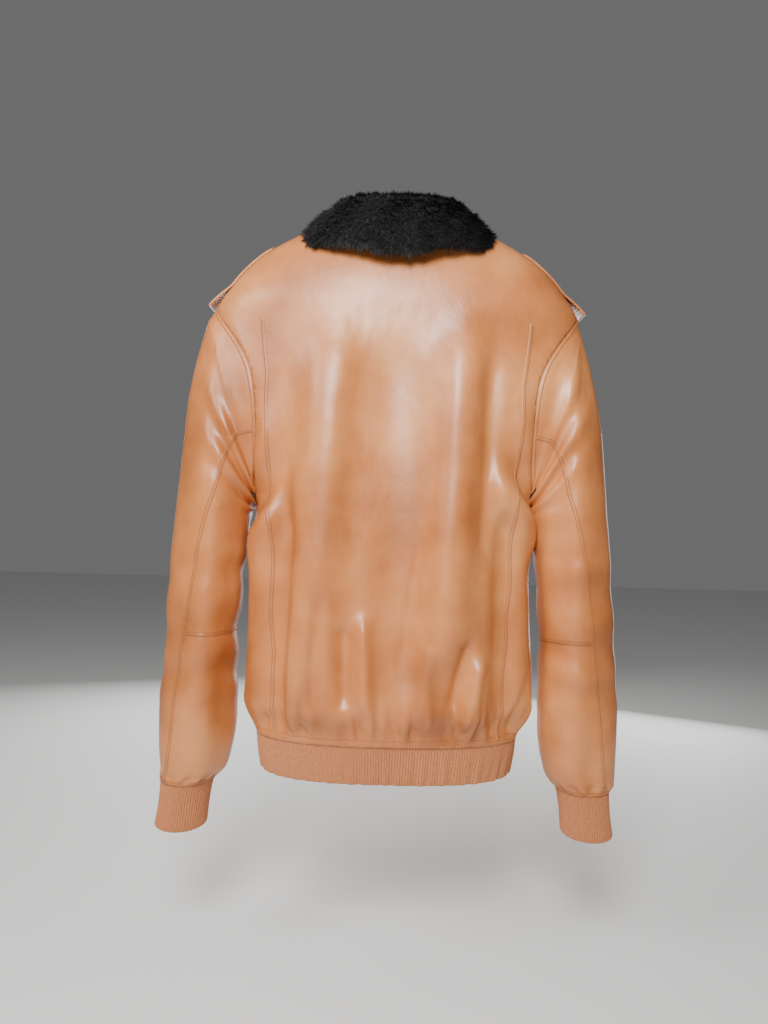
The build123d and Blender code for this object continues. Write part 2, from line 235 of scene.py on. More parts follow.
def wave(shape, cell, seed, closed=False):
    """Smooth noise on a grid, from -1 to 1: cell is its (rows, columns) wavelength in grid steps."""
    local = np.random.default_rng(seed)
    rows, columns = shape
    out = np.zeros(shape)
    j, i = np.meshgrid(np.arange(rows), np.arange(columns), indexing="ij")
    for _ in range(14):
        a, b = local.normal(0, 1 / cell[0]), local.normal(0, 1 / cell[1])
        if closed:
            b = round(b * columns) / columns
        out += np.cos(2 * math.pi * (a * j + b * i) + local.uniform(0, 6.28))
    return out / 5.0


def turns(count):
    """Angles at equal steps round a circle."""
    return np.linspace(0, 2 * math.pi, count, endpoint=False)


def finer_round(grid):
    """Twice the points along the columns of a closed grid."""
    wrapped = np.concatenate([grid[:, -3:], grid, grid[:, :3]], axis=1)
    return finer(wrapped, 1)[:, 6 : 6 + 2 * grid.shape[1]]


def finer(grid, axis):
    """Twice the points along an axis, by Catmull-Rom."""
    g = np.moveaxis(grid, axis, 0)
    padded = np.concatenate([2 * g[:1] - g[1:2], g, 2 * g[-1:] - g[-2:-1]])
    middle = (-padded[:-3] + 9 * padded[1:-2] + 9 * padded[2:-1] - padded[3:]) / 16
    out = np.empty((2 * len(g) - 1,) + g.shape[1:])
    out[0::2], out[1::2] = g, middle
    return np.moveaxis(out, 0, axis)


# ---------------------------------------------------------------- meshes
def grid_faces(rows, columns, closed=False):
    """Quads of a grid of points, row by row; closed joins its last column to its first."""
    j, i = np.meshgrid(np.arange(rows - 1), np.arange(columns if closed else columns - 1), indexing="ij")
    k = (i + 1) % columns
    above, below = j * columns, (j + 1) * columns
    return np.stack([above + i, below + i, below + k, above + k], -1).reshape(-1, 4)


def grid_part(grid, closed=False):
    """The (points, faces) of a grid."""
    return grid.reshape(-1, 3), grid_faces(*grid.shape[:2], closed).tolist()


def make_mesh(name, points, faces, smooth=True):
    """An object from points in millimetres and faces; points that no face uses are left out."""
    points = np.asarray(points, float).reshape(-1, 3)
    used = np.unique(np.concatenate([np.ravel(f) for f in faces]))
    index = np.full(len(points), -1)
    index[used] = np.arange(len(used))
    return new_object(name, points[used], [index[np.asarray(f)].tolist() for f in faces], smooth)


def new_object(name, points, faces, smooth):
    """A linked object from points in millimetres and lists of corners."""
    mesh = bpy.data.meshes.new(name)
    mesh.from_pydata((points * MM).tolist(), [], faces)
    mesh.update()
    if smooth:
        mesh.shade_smooth()
    obj = bpy.data.objects.new(name, mesh)
    bpy.context.scene.collection.objects.link(obj)
    return obj


def mirrored(name, part, side, smooth=True):
    """A mesh of (points, faces) laid out on the wearer's left, on its own side of the jacket."""
    points, faces = part
    return make_mesh(name, points * np.array([side, 1, 1]), flip_faces(faces, side), smooth)


def flip_faces(faces, side):
    """Turns faces over for the right side, where the points are mirrored."""
    return faces if side > 0 else [list(f)[::-1] for f in faces]


def bake(obj):
    """Applies the object's modifiers."""
    graph = bpy.context.evaluated_depsgraph_get()
    mesh = bpy.data.meshes.new_from_object(obj.evaluated_get(graph))
    obj.modifiers.clear()
    obj.data = mesh
    return obj


def thicken(obj, thickness, inward=True):
    """Gives a sheet its thickness, in millimetres."""
    solid = obj.modifiers.new("thickness", "SOLIDIFY")
    solid.thickness = thickness * MM
    solid.offset = -1 if inward else 1
    solid.use_even_offset = False
    return bake(obj)


def join_points(parts):
    """Joins (points, faces) pairs into one."""
    points, faces, start = [], [], 0
    for p, f in parts:
        p = np.asarray(p, float).reshape(-1, 3)
        points.append(p)
        faces += [[v + start for v in face] for face in f]
        start += len(p)
    return np.vstack(points), faces


def box_part(low, high, chamfer):
    """A box with its upright edges cut."""
    (x0, y0, z0), (x1, y1, z1) = low, high
    c = chamfer
    lower = [(x0, z0 + c), (x0 + c, z0), (x1 - c, z0), (x1, z0 + c)]
    outline = lower[1:] + [(x1, z1 - c), (x1 - c, z1), (x0 + c, z1), (x0, z1 - c)] + lower[:1]
    n = len(outline)
    points = [(x, y0, z) for x, z in outline] + [(x, y1, z) for x, z in outline]
    faces = [list(range(n)), list(range(2 * n - 1, n - 1, -1))]
    faces += [[k, n + k, n + (k + 1) % n, (k + 1) % n] for k in range(n)]
    return np.array(points), faces


def tube_part(path, radius, sides=8):
    """A round tube along a path, with closed ends."""
    path = np.asarray(path, float)
    tangent = unit(np.gradient(path, axis=0))
    u = unit(np.cross(tangent, np.array([0.13, 0.37, 0.92])))
    v = np.cross(tangent, u)
    c, s = np.cos(turns(sides))[None, :, None], np.sin(turns(sides))[None, :, None]
    rings = path[:, None] + radius * (c * u[:, None] + s * v[:, None])
    points, faces = grid_part(rings, closed=True)
    faces.append(list(range(sides)))
    faces.append([(len(path) - 1) * sides + k for k in range(sides - 1, -1, -1)])
    return points, faces


STITCH, STITCH_PITCH, STITCH_RADIUS, STITCH_LIFT, STITCH_DIP = 2.6, 3.6, 0.32, 0.15, 0.25


def stitches(path, normal):
    """Short threads along a path that lies on a surface with the given normals."""
    along = lengths_along(path)
    dip = np.array([[-STITCH_DIP], [STITCH_DIP], [-STITCH_DIP]])
    parts = []
    for at in np.arange(STITCH_PITCH, along[-1] - STITCH_PITCH, STITCH_PITCH):
        ends = np.array([at - STITCH / 2, at, at + STITCH / 2])
        p = np.stack([np.interp(ends, along, path[:, k]) for k in range(3)], -1)
        n = np.array([np.interp(at, along, normal[:, k]) for k in range(3)])
        parts.append(tube_part(p + unit(n, 1e-9) * (STITCH_LIFT + dip), STITCH_RADIUS, sides=5))
    return parts


RIBBON_PROFILE = [(-0.5, -1.2), (-0.42, 0.55), (-0.2, 1.0), (0.1, 0.7), (0.3, 0.25), (0.5, -1.2)]
RIBBON_HEIGHT = 0.6


def ribbon(path, normal, width):
    """A low rounded strip along a path on a surface: a lapped seam."""
    across = unit(np.cross(normal, unit(np.gradient(path, axis=0), 1e-9)), 1e-9)
    rows = [path + across * (a * width) + normal * (b * RIBBON_HEIGHT) for a, b in RIBBON_PROFILE]
    return grid_part(np.stack(rows, 1))


# ---------------------------------------------------------------- the skins before they fold
torso_skin = Surface(TORSO_RINGS)
LAST_COLUMN = torso_skin.columns - 1
LEFT_SIDE, RIGHT_SIDE = FRONT_COLUMNS, FRONT_COLUMNS + BACK_COLUMNS


def neck_height(column):
    """Where the leather begins under the collar: low at the front edges."""
    inward = np.minimum(column, LAST_COLUMN - column) / FRONT_COLUMNS
    return -64 + 72 * np.clip(inward, 0, 1) ** 0.8


def torso_grid():
    """Rows from the neck to the hem, closer together at the top; columns from the left front edge."""
    column = np.arange(LAST_COLUMN + 1, dtype=float)
    share = (np.linspace(0, 1, ROWS) ** 1.12)[:, None]
    top = neck_height(column)[None, :]
    z = top + (HEM_TOP - top) * share
    return torso_skin(np.broadcast_to(column, z.shape), z)


def near_pocket(base, room):
    """Where the skin lies round a pocket, with room above and below it."""
    x, y, z = base[..., 0], base[..., 1], base[..., 2]
    lean, drop = POCKET_BOTTOM[0] - POCKET_TOP[0], POCKET_TOP[2] - POCKET_BOTTOM[2]
    across = np.abs(np.abs(x) - (POCKET_TOP[0] + (POCKET_TOP[2] - z) * lean / drop))
    return (y < 0) & (across < POCKET_HALF) & (z < POCKET_TOP[2] + room) & (z > POCKET_BOTTOM[2] - room - 2)


def arm_place(points, side):
    """Where points lie in the armhole's ellipse: the turn and the distance from its middle, 1 at the rim."""
    p = points * [side, 1, 1] - ARM_MIDDLE
    p = p - (p @ ARM_ALONG)[..., None] * ARM_ALONG
    long, short = p @ ARM_LONG / ARM_HALF, p[..., 1] / ARM_DEPTH
    return np.arctan2(short, long), np.hypot(long, short)


def outside_torso(points):
    """Below 0 inside the torso's rings and above 0 outside."""
    half, back, front = ring_at(TORSO_RINGS, points[..., 2])
    rear = points[..., 1] > 0
    power = np.where(rear, BACK_POWER, FRONT_POWER)
    depth = np.where(rear, back, front)
    return np.abs(points[..., 0] / half) ** power + np.abs(points[..., 1] / depth) ** power - 1


def last_inside(start, direction, low, high, steps):
    """How far each point can go along direction, from low to high, before it leaves the torso's rings."""
    low, high = np.full(start.shape[:-1], low), np.full(start.shape[:-1], high)
    for _ in range(steps):
        middle = (low + high) / 2
        inside = outside_torso(start + direction * middle[..., None]) < 0
        low, high = np.where(inside, middle, low), np.where(inside, high, middle)
    return low


def armhole(turn, grow=0.0):
    """The left armhole's rim, where the sleeve's tube meets the torso."""
    turn = np.asarray(turn, float)
    start = ARM_MIDDLE + (np.cos(turn) * (ARM_HALF + grow))[..., None] * ARM_LONG
    start = start + (np.sin(turn) * (ARM_DEPTH + grow))[..., None] * OVER_Y
    return start + last_inside(start, ARM_ALONG, -95.0, 60.0, 40)[..., None] * ARM_ALONG


def open_armholes(grid, grow=0.0):
    """Drops a grid's faces inside the armholes and moves the rims that are left onto the armholes' curves."""
    faces = grid_faces(*grid.shape[:2])
    points = grid.reshape(-1, 3).copy()
    centres = points[faces].mean(1)
    gone = np.zeros(len(faces), bool)
    for _, side in SIDES:
        near = (centres[:, 0] * side > 120) & (centres[:, 2] < -60) & (centres[:, 2] > -360)
        gone |= near & (arm_place(centres, side)[1] < 1)
    rim = np.intersect1d(faces[gone], faces[~gone])
    for _, side in SIDES:
        mine = rim[points[rim, 0] * side > 0]
        points[mine] = armhole(arm_place(points[mine], side)[0], grow) * [side, 1, 1]
    return points, faces[~gone], rim


def sleeve_point(share, turn):
    """The left sleeve's tube: share runs from the armhole (0) to the end of the cuff (1)."""
    columns = np.array(SLEEVE_RINGS, float).T
    at = np.linspace(0, 1, columns.shape[1])
    ox, oz, ix, iz, depth, y = [monotone(at, column, share) for column in columns]
    middle = np.stack([(ox + ix) / 2, y, (oz + iz) / 2], -1)
    long = np.stack([(ox - ix) / 2, 0 * ox, (oz - iz) / 2], -1)
    return middle + long * np.cos(turn)[..., None] + OVER_Y * depth[..., None] * np.sin(turn)[..., None]


def sleeve_grid():
    """Rows from the armhole's rim to the cuff; columns go round from the outer edge by the back."""
    turn = turns(SLEEVE_COLUMNS)
    rim = armhole(turn)
    first = sleeve_point(np.full(SLEEVE_COLUMNS, CAP_END), turn)
    cap = [rim + (first - rim) * (k / CAP_ROWS) for k in range(CAP_ROWS)]
    share = np.linspace(CAP_END, CUFF_AT, SLEEVE_ROWS - CAP_ROWS)
    body = sleeve_point(*np.meshgrid(share, turn, indexing="ij"))
    return np.concatenate([np.array(cap), body])


# ---------------------------------------------------------------- folding by cloth simulation
FRAMES, STRETCH_STIFFNESS, BENDING_STIFFNESS, DAMPING = 26, 14, 3.0, 12


def simulate(name, start, rest, faces, held):
    """Cloth that begins at start and would like the shape rest. held is each point's pin, 0 to 1."""
    obj = new_object(name, start.reshape(-1, 3), faces.tolist(), smooth=False)
    obj.shape_key_add(name="Basis")
    key = obj.shape_key_add(name="rest")
    key.data.foreach_set("co", (rest.reshape(-1) * MM).astype(np.float32))
    key.value = 0
    group = obj.vertex_groups.new(name="held")
    levels = np.round(held, 2)
    for level in np.unique(levels):
        if level > 0:
            group.add(np.nonzero(levels == level)[0].tolist(), float(level), "REPLACE")
    cloth = obj.modifiers.new("cloth", "CLOTH")
    s = cloth.settings
    s.quality, s.mass, s.air_damping = 7, 0.02, 4
    s.tension_stiffness = s.compression_stiffness = STRETCH_STIFFNESS
    s.shear_stiffness = STRETCH_STIFFNESS * 0.4
    s.bending_stiffness = BENDING_STIFFNESS
    s.tension_damping = s.compression_damping = s.shear_damping = DAMPING
    s.bending_damping = 2
    s.vertex_group_mass = "held"
    s.pin_stiffness = 4
    s.rest_shape_key = key
    s.effector_weights.gravity = 0.5
    cloth.collision_settings.use_collision = False
    cloth.collision_settings.use_self_collision = False
    cloth.point_cache.frame_start, cloth.point_cache.frame_end = 1, FRAMES
    scene = bpy.context.scene
    for f in range(1, FRAMES + 1):
        scene.frame_set(f)
    mesh = obj.evaluated_get(bpy.context.evaluated_depsgraph_get()).to_mesh()
    out = np.zeros(len(mesh.vertices) * 3)
    mesh.vertices.foreach_get("co", out)
    scene.frame_set(1)
    bpy.data.objects.remove(obj)
    return out.reshape(start.shape) / MM


ALONG_LIMIT = 9  # how far a fold may carry the leather along its own skin
BROAD_SHARE, FINE_SHARE = 1.15, 0.16


def limited(base, folded, normal, low, high):
    """Keeps the folds between low (inwards) and high (outwards) of the skin, softly."""
    move = folded - base
    out = (move * normal).sum(-1, keepdims=True)
    kept = np.where(out > 0, high * np.tanh(out / high), low * np.tanh(out / low))
    along = move - out * normal
    size = np.linalg.norm(along, axis=-1, keepdims=True)
    return base + normal * kept + along * np.minimum(1, ALONG_LIMIT / np.maximum(size, 1e-6))


def softened(values, sigma, closed=False):
    """A Gaussian blur over the rows and columns of a grid."""
    reach = int(3 * sigma)
    kernel = np.exp(-0.5 * (np.arange(-reach, reach + 1) / sigma) ** 2)
    kernel /= kernel.sum()
    for axis in (0, 1):
        pad = [(0, 0)] * values.ndim
        pad[axis] = (reach, reach)
        wide = np.pad(values, pad, mode="wrap" if closed and axis == 1 else "edge")
        size = values.shape[axis]
        values = sum(k * np.take(wide, np.arange(n, n + size), axis) for n, k in enumerate(kernel))
    return values


def calmed(base, folded, free, closed=False):
    """Keeps the cloth's broad folds and takes most of its small wrinkles off; free is 0 where it is held."""
    move = folded - base
    soft = softened(move, 2.1, closed)
    return base + (soft * BROAD_SHARE + (move - soft) * FINE_SHARE) * free[..., None]


def fold_field(x, z, folds):
    """Long soft folds, each from (x, z) to (x, z) with a width and a height, fading at both ends."""
    total = np.zeros(x.shape)
    for x_top, z_top, x_low, z_low, width, height in folds:
        share = (z_top - z) / (z_top - z_low)
        middle = x_top + (x_low - x_top) * np.clip(share, 0, 1)
        fade = 1 / (1 + np.exp(-(share - 0.1) * 28)) / (1 + np.exp((share - 0.92) * 28))
        total += height * bump(x, middle, width) * fade
    return total


BACK_FOLDS = [  # x and z at the top, x and z at the bottom, width, height (below 0 is a valley)
    (70, -110, 112, -640, 30, 8.5),
    (128, -300, 136, -640, 13, -9.5),
    (0, -120, -14, -600, 27, -8.0),
    (-84, -110, -64, -560, 27, 8.5),
    (-116, -150, -112, -420, 10, -4.5),
    (-140, -330, -140, -645, 13, -10.0),
    (-37, -375, -14, -540, 5.5, -4.5),
    (54, -485, 52, -590, 8, -6.0),
    (31, -470, 26, -600, 9, 5.5),
    (-96, -500, -74, -590, 7, -5.0),
    (-112, -520, -92, -610, 9, 4.5),
    (80, -440, 92, -600, 8, -3.5),
    (-44, -500, -40, -620, 11, 4.0),
]
HEM_CREASES = [150, 121, 99, 72, 49, 31, 13, -12, -31, -46, -68, -85, -104, -127, -150]
ARMPIT_X, ARMPIT_Z = 168, -330
FRONT_SHARE = 0.6  # how strong the folds of the fronts are beside those of the back
NECK_HELD, NECK_EASED = -46, -95  # the collar's seam is held above the first, and eased above the second


def freedom(held, sigma, closed=False):
    """1 where cloth is loose, falling to 0 at its pins."""
    return np.clip(2 * softened(1 - held, sigma, closed) - 1, 0, 1)


def fold_torso():
    """The torso's skin before and after folding."""
    base = torso_grid()
    normal = normals_of(base)
    x, y, z = base[..., 0], base[..., 1], base[..., 2]
    rear = y > 0
    down = np.clip((-z - 90) / 540, 0, 1)
    seeds = 2.0 * wave(x.shape, (70, 12), 3) + 1.2 * wave(x.shape, (30, 10), 5)
    gather = bump(z, HEM_TOP + 24, 30) * wave(x.shape, (200, 4.2), 8) * 2.0
    for k, at_hem in enumerate(HEM_CREASES):
        slant = at_hem * (1 + 0.0011 * (z - HEM_TOP)) + (z - HEM_TOP) * (0.16 if k % 2 else -0.10)
        crease = (4.0 + k % 3) * bump(x, slant, 5.0) * bump(z, HEM_TOP + 12, 26 + 9 * (k % 4))
        gather -= crease * np.where(rear, 1, FRONT_SHARE)
    push = np.where(rear, fold_field(x, z, BACK_FOLDS), 0) * np.clip((y - 20) / 25, 0, 1)
    for side in (1, -1):
        armpit = np.hypot((x * side - ARMPIT_X) / 46, (z - ARMPIT_Z) / 70)
        ridge = np.cos((x * side * 0.75 + z * 0.66 + 210 + side * 9) / 13.0)
        push += np.where(rear, 1, FRONT_SHARE) * 7.0 * ridge * np.exp(-(armpit**2))
    placket = np.clip((np.abs(x) - PLACKET) / PLACKET_FADE, 0, 1)
    lifted = (seeds + gather) * placket * np.clip(down * 6, 0, 1) + push * placket * 0.9
    start = base + normal * lifted[..., None]
    loose = 1.05 + 0.05 * np.clip(down * 2, 0, 1) + 0.05 * bump(z, HEM_TOP, 60)
    loose = np.where((np.abs(x) < PLACKET) & ~rear, 1.01, loose)
    rest = base * np.stack([loose, loose, np.full(x.shape, 1.02)], -1)
    points, faces, rim = open_armholes(start)
    held = np.zeros(x.shape)
    held[:3] = held[-1:] = 1
    held[z > NECK_HELD] = 1
    held[(z > NECK_EASED) & (held < 1)] = 0.25
    held[(np.abs(x) < PLACKET + 4) & ~rear] = 1
    held[(np.abs(y) < 28) & (z > -112)] = 1
    held[near_pocket(base, 16)] = 1
    held = held.reshape(-1)
    held[rim] = 1
    free = freedom(held.reshape(x.shape), 1.4)
    rest_points = rest.reshape(-1, 3)
    rest_points[rim] = points[rim]
    used = np.zeros(len(held), bool)
    used[np.unique(faces)] = True
    held[~used] = 1
    out = simulate("torso_cloth", points.reshape(-1, 3), rest_points, faces, held).reshape(base.shape)
    fixed = ~used
    fixed[rim] = True
    fixed = fixed.reshape(x.shape)
    out[fixed] = base[fixed]
    out = calmed(base, out, free)
    out = out + normal * ((push * 1.7 + gather * 1.3) * free)[..., None]
    reach = 1 - 0.6 * bump(np.abs(x), 185, 26) * (z < -340)
    return base, limited(base, out, normal, (19 * reach)[..., None], (15 * reach)[..., None])


def fold_sleeve(side, seed):
    """The sleeve's skin after folding, laid out on the wearer's left."""
    base = sleeve_grid()
    normal = normals_of(base, closed=True)
    rows, columns = base.shape[:2]
    j = np.arange(rows)[:, None] / (rows - 1)
    turn = turns(columns)[None]
    seeds = 1.5 * wave((rows, columns), (24, 26), seed, True)
    seeds = seeds + 1.5 * wave((rows, columns), (44, 12), seed + 1, True)
    inner = 0.5 - 0.5 * np.cos(turn)
    elbow = bump(j, ELBOW_SHARE, 0.10) * (0.35 + 0.65 * inner) * 3.2
    elbow = elbow * np.cos(j * 95 + 1.3 * np.sin(turn + seed))
    blouse = bump(j, 0.93, 0.05) * np.cos(turn * 9 + seed) * 1.8
    lifted = (seeds + elbow + blouse) * np.clip(j * 14, 0, 1) * np.clip((1 - j) * 25, 0, 1)
    start = base + normal * lifted[..., None]
    middle = base.mean(1, keepdims=True)
    stretch = 1.045 + 0.05 * bump(j, ELBOW_SHARE, 0.16) + 0.05 * bump(j, 0.97, 0.1)
    rest = middle + (base - middle) * stretch[..., None]
    drop = np.cumsum(np.concatenate([[[0.0]], 0.045 + 0.09 * bump(j[1:], ELBOW_SHARE, 0.12)]) * 5.6, axis=0)
    rest = rest - np.array([0, 0, 1.0]) * drop[..., None]
    held = np.zeros((rows, columns))
    held[:1] = held[-1:] = 1
    held[1:3] = 0.4
    faces = grid_faces(rows, columns, closed=True)
    shapes = start.reshape(-1, 3), rest.reshape(-1, 3)
    out = simulate(f"sleeve_cloth_{side}", *shapes, faces, held.reshape(-1))
    out = calmed(base, out.reshape(base.shape), freedom(held, 1.0, True), closed=True)
    ends = np.clip(j * 10, 0, 1) * np.clip((1 - j) * 18, 0, 1)
    long_folds = 2.6 * np.cos(3 * turn + 2.2 * j + seed) + 1.8 * np.cos(5 * turn - 3.0 * j + 2 * seed)
    armpit = 5.5 * bump(j, 0.2, 0.13) * inner * np.cos(j * 58 + 2.4 * turn + seed)
    pinch = -3.0 * bump(j, 0.965, 0.035) * np.cos(11 * turn + seed)
    out = out + normal * ((long_folds + armpit + pinch + 0.8 * elbow) * ends)[..., None]
    reach = 1 - 0.55 * bump(turn, math.pi, 0.9) * np.clip((j - 0.1) * 8, 0, 1)
    return limited(base, out, normal, (10 * reach)[..., None], (8 * reach)[..., None])


# ---------------------------------------------------------------- materials
def material(name, colour, roughness, metallic=0.0, sheen=0.0, coat=0.0):
    """A material with its nodes, its links and its shader."""
    mat = bpy.data.materials.new(name)
    mat.use_nodes = True
    shader = mat.node_tree.nodes["Principled BSDF"]
    shader.inputs["Base Color"].default_value = (*colour, 1)
    shader.inputs["Roughness"].default_value = roughness
    shader.inputs["Metallic"].default_value = metallic
    shader.inputs["Sheen Weight"].default_value = sheen
    shader.inputs["Coat Weight"].default_value = coat
    shader.inputs["Coat Roughness"].default_value = 0.3
    return mat, mat.node_tree.nodes, mat.node_tree.links, shader


def noise_node(nodes, links, scale, detail, stretch=(1, 1, 1)):
    """Noise in the object's own space."""
    place = nodes.new("ShaderNodeTexCoord")
    mapping = nodes.new("ShaderNodeMapping")
    mapping.inputs["Scale"].default_value = stretch
    noise = nodes.new("ShaderNodeTexNoise")
    noise.inputs["Scale"].default_value = scale
    noise.inputs["Detail"].default_value = detail
    links.new(place.outputs["Object"], mapping.inputs["Vector"])
    links.new(mapping.outputs["Vector"], noise.inputs["Vector"])
    return noise


def ramp_node(nodes, links, source, stops):
    """Colours along a value: stops are (position, colour) pairs."""
    ramp = nodes.new("ShaderNodeValToRGB")
    while len(ramp.color_ramp.elements) < len(stops):
        ramp.color_ramp.elements.new(0.5)
    for element, (at, colour) in zip(ramp.color_ramp.elements, stops):
        element.position, element.color = at, (*colour, 1)
    links.new(source, ramp.inputs["Fac"])
    return ramp


def bump_chain(nodes, links, shader, heights):
    """heights: (socket, strength, distance in metres), coarse to fine."""
    last = None
    for source, strength, distance in heights:
        node = nodes.new("ShaderNodeBump")
        node.inputs["Strength"].default_value = strength
        node.inputs["Distance"].default_value = distance
        links.new(source, node.inputs["Height"])
        if last is not None:
            links.new(last.outputs["Normal"], node.inputs["Normal"])
        last = node
    links.new(last.outputs["Normal"], shader.inputs["Normal"])


LEATHER_TONES = [(0.30, (0.35, 0.100, 0.020)), (0.5, (0.52, 0.172, 0.044)), (0.72, (0.66, 0.26, 0.080))]


def leather_material(name="leather", tint=1.0):
    """Waxed leather: broad changes of tone, a fine grain and shallow creases."""
    mat, nodes, links, shader = material(name, (0.5, 0.2, 0.08), 0.4, coat=0.22)
    tone = noise_node(nodes, links, 9, 5)
    stops = [(at, tuple(c * tint for c in colour)) for at, colour in LEATHER_TONES]
    ramp = ramp_node(nodes, links, tone.outputs["Fac"], stops)
    links.new(ramp.outputs["Color"], shader.inputs["Base Color"])
    patch = noise_node(nodes, links, 40, 4)
    rough = nodes.new("ShaderNodeMapRange")
    rough.inputs["To Min"].default_value, rough.inputs["To Max"].default_value = 0.33, 0.47
    links.new(patch.outputs["Fac"], rough.inputs["Value"])
    links.new(rough.outputs["Result"], shader.inputs["Roughness"])
    grain = nodes.new("ShaderNodeTexVoronoi")
    grain.inputs["Scale"].default_value = 620
    place = nodes.new("ShaderNodeTexCoord")
    links.new(place.outputs["Object"], grain.inputs["Vector"])
    crease = noise_node(nodes, links, 75, 6, (1, 1, 0.6))
    heights = [(crease.outputs["Fac"], 0.38, 0.0014), (grain.outputs["Distance"], 0.25, 0.0005)]
    bump_chain(nodes, links, shader, heights)
    return mat


def cloth_material(name, dark, light, roughness, scale, sheen=0.0, height=0.0006):
    """Woven or knitted yarn, or fur, between two tones."""
    mat, nodes, links, shader = material(name, dark, roughness, sheen=sheen)
    tone = noise_node(nodes, links, scale, 4)
    ramp = ramp_node(nodes, links, tone.outputs["Fac"], [(0.3, dark), (0.7, light)])
    links.new(ramp.outputs["Color"], shader.inputs["Base Color"])
    fine = noise_node(nodes, links, scale * 4, 2)
    bump_chain(nodes, links, shader, [(fine.outputs["Fac"], 0.5, height)])
    return mat


def metal_material(name, colour, roughness):
    """Metal with darker worn patches."""
    mat, nodes, links, shader = material(name, colour, roughness, metallic=1.0)
    worn = noise_node(nodes, links, 260, 4)
    stops = [(0.35, tuple(c * 0.55 for c in colour)), (0.65, colour)]
    ramp = ramp_node(nodes, links, worn.outputs["Fac"], stops)
    links.new(ramp.outputs["Color"], shader.inputs["Base Color"])
    bump_chain(nodes, links, shader, [(worn.outputs["Fac"], 0.15, 0.0002)])
    return mat


LEATHER_MAT = leather_material()
SEAM_MAT = leather_material("leather_seam", 0.95)
INNER_MAT = cloth_material("lining_satin", (0.035, 0.022, 0.018), (0.06, 0.04, 0.03), 0.42, 30, sheen=0.2)
KNIT_TONES = (0.40, 0.135, 0.045), (0.54, 0.205, 0.078)
KNIT_MAT = cloth_material("rib_knit", *KNIT_TONES, 0.85, 420, sheen=0.08, height=0.0008)
FUR_MAT = cloth_material("fur_pile", (0.0016, 0.0012, 0.0012), (0.008, 0.0065, 0.006), 0.7, 90, sheen=0.03)
THREAD_MAT = cloth_material("thread", (0.30, 0.11, 0.04), (0.42, 0.17, 0.07), 0.6, 900)
TAPE_MAT = cloth_material("zip_tape_weave", (0.09, 0.045, 0.02), (0.15, 0.08, 0.04), 0.8, 900)
METAL_MAT = metal_material("antique_metal", (0.42, 0.36, 0.28), 0.34)
SNAP_MAT = metal_material("snap_metal", (0.72, 0.55, 0.46), 0.3)


def dress(obj, mat):
    """Gives a piece its only material."""
    obj.data.materials.clear()
    obj.data.materials.append(mat)
    return obj


# ---------------------------------------------------------------- pieces baked in place, and folded grids
def bend_front(obj):
    """Bakes a front piece's placement into its points; the inward side of the slanted fold line is worked out
    but not used.
    """
    inboard = np.cross(unit(FOLD_TOP - FOLD_END), OVER_Y)
    inboard *= -np.sign(inboard[0]) / np.linalg.norm(inboard)
    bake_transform(obj)


def bend_elbow(obj):
    """Bakes a sleeve piece's placement into its points."""
    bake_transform(obj)


class Folded:
    """A folded grid that other pieces can be laid on."""

    def __init__(self, grid, closed=False):
        self.grid, self.closed = grid, closed
        self.normal = normals_of(grid, closed)

    def at(self, row, column):
        """Points and unit normals at rows and columns that needn't be whole."""
        rows, columns = self.grid.shape[:2]
        row = np.clip(row, 0, rows - 1.001)
        column = np.mod(column, columns) if self.closed else np.clip(column, 0, columns - 1.001)
        j, i = row.astype(int), column.astype(int)
        f, g = (row - j)[:, None], (column - i)[:, None]
        k = (i + 1) % columns
        out = []
        for values in (self.grid, self.normal):
            low = values[j, i] * (1 - g) + values[j, k] * g
            high = values[j + 1, i] * (1 - g) + values[j + 1, k] * g
            out.append(low * (1 - f) + high * f)
        return out[0], unit(out[1])


# ---------------------------------------------------------------- leather and linings
def lay_torso(base, folded):
    """The back, the two fronts, their linings and facings."""
    fine = finer(finer(folded, 0), 1)
    blocks = {
        "back": (2 * LEFT_SIDE, 2 * RIGHT_SIDE),
        "front_left": (0, 2 * LEFT_SIDE),
        "front_right": (2 * RIGHT_SIDE, 2 * LAST_COLUMN),
    }
    for name, (low, high) in blocks.items():
        block = fine[:, low : high + 1]
        points, faces, _ = open_armholes(block)
        obj = thicken(make_mesh(f"leather_{name}", points, faces), LEATHER)
        dress(obj, LEATHER_MAT)
        place_torso_piece(obj, name)
        if name == "back":
            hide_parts("back_panel", "side_panel_left", "side_panel_right")
        else:
            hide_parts(name.replace("front_", "front_panel_"), name.replace("front_", "front_side_"))
    behind_pockets = softened(near_pocket(base, 14).astype(float), 1.0)
    inner = folded - normals_of(folded) * (LINING_IN + 5.5 * behind_pockets)[..., None]
    first, last = FACING_COLUMNS, LAST_COLUMN - FACING_COLUMNS
    inner_blocks = {
        "lining_back": ("back", LEFT_SIDE, RIGHT_SIDE, ["lining_body"]),
        "lining_left": ("front_left", first, LEFT_SIDE, ["lining_front_left", "pocket_bag_left"]),
        "lining_right": ("front_right", RIGHT_SIDE, last, ["lining_front_right", "pocket_bag_right"]),
        "facing_left": ("front_left", 0, first, ["front_facing_left"]),
        "facing_right": ("front_right", last, LAST_COLUMN, ["front_facing_right"]),
    }
    for name, (where, low, high, nodes) in inner_blocks.items():
        block = inner[:, low : high + 1]
        points, faces, _ = open_armholes(block, -LINING_IN)
        leather = name.startswith("facing")
        obj = thicken(make_mesh(name, points, faces), LINING)
        dress(obj, LEATHER_MAT if leather else INNER_MAT)
        place_torso_piece(obj, where)
        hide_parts(*nodes)
    lay_neck_facing(inner)
    for (name, side), column in zip(SIDES, (0, LAST_COLUMN)):
        lay_edge(folded, inner, column, name, side)


def place_torso_piece(obj, name):
    """The back rides the torso; a front has its placement baked into its points."""
    if name == "back":
        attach(obj, "torso")
    else:
        bend_front(obj)


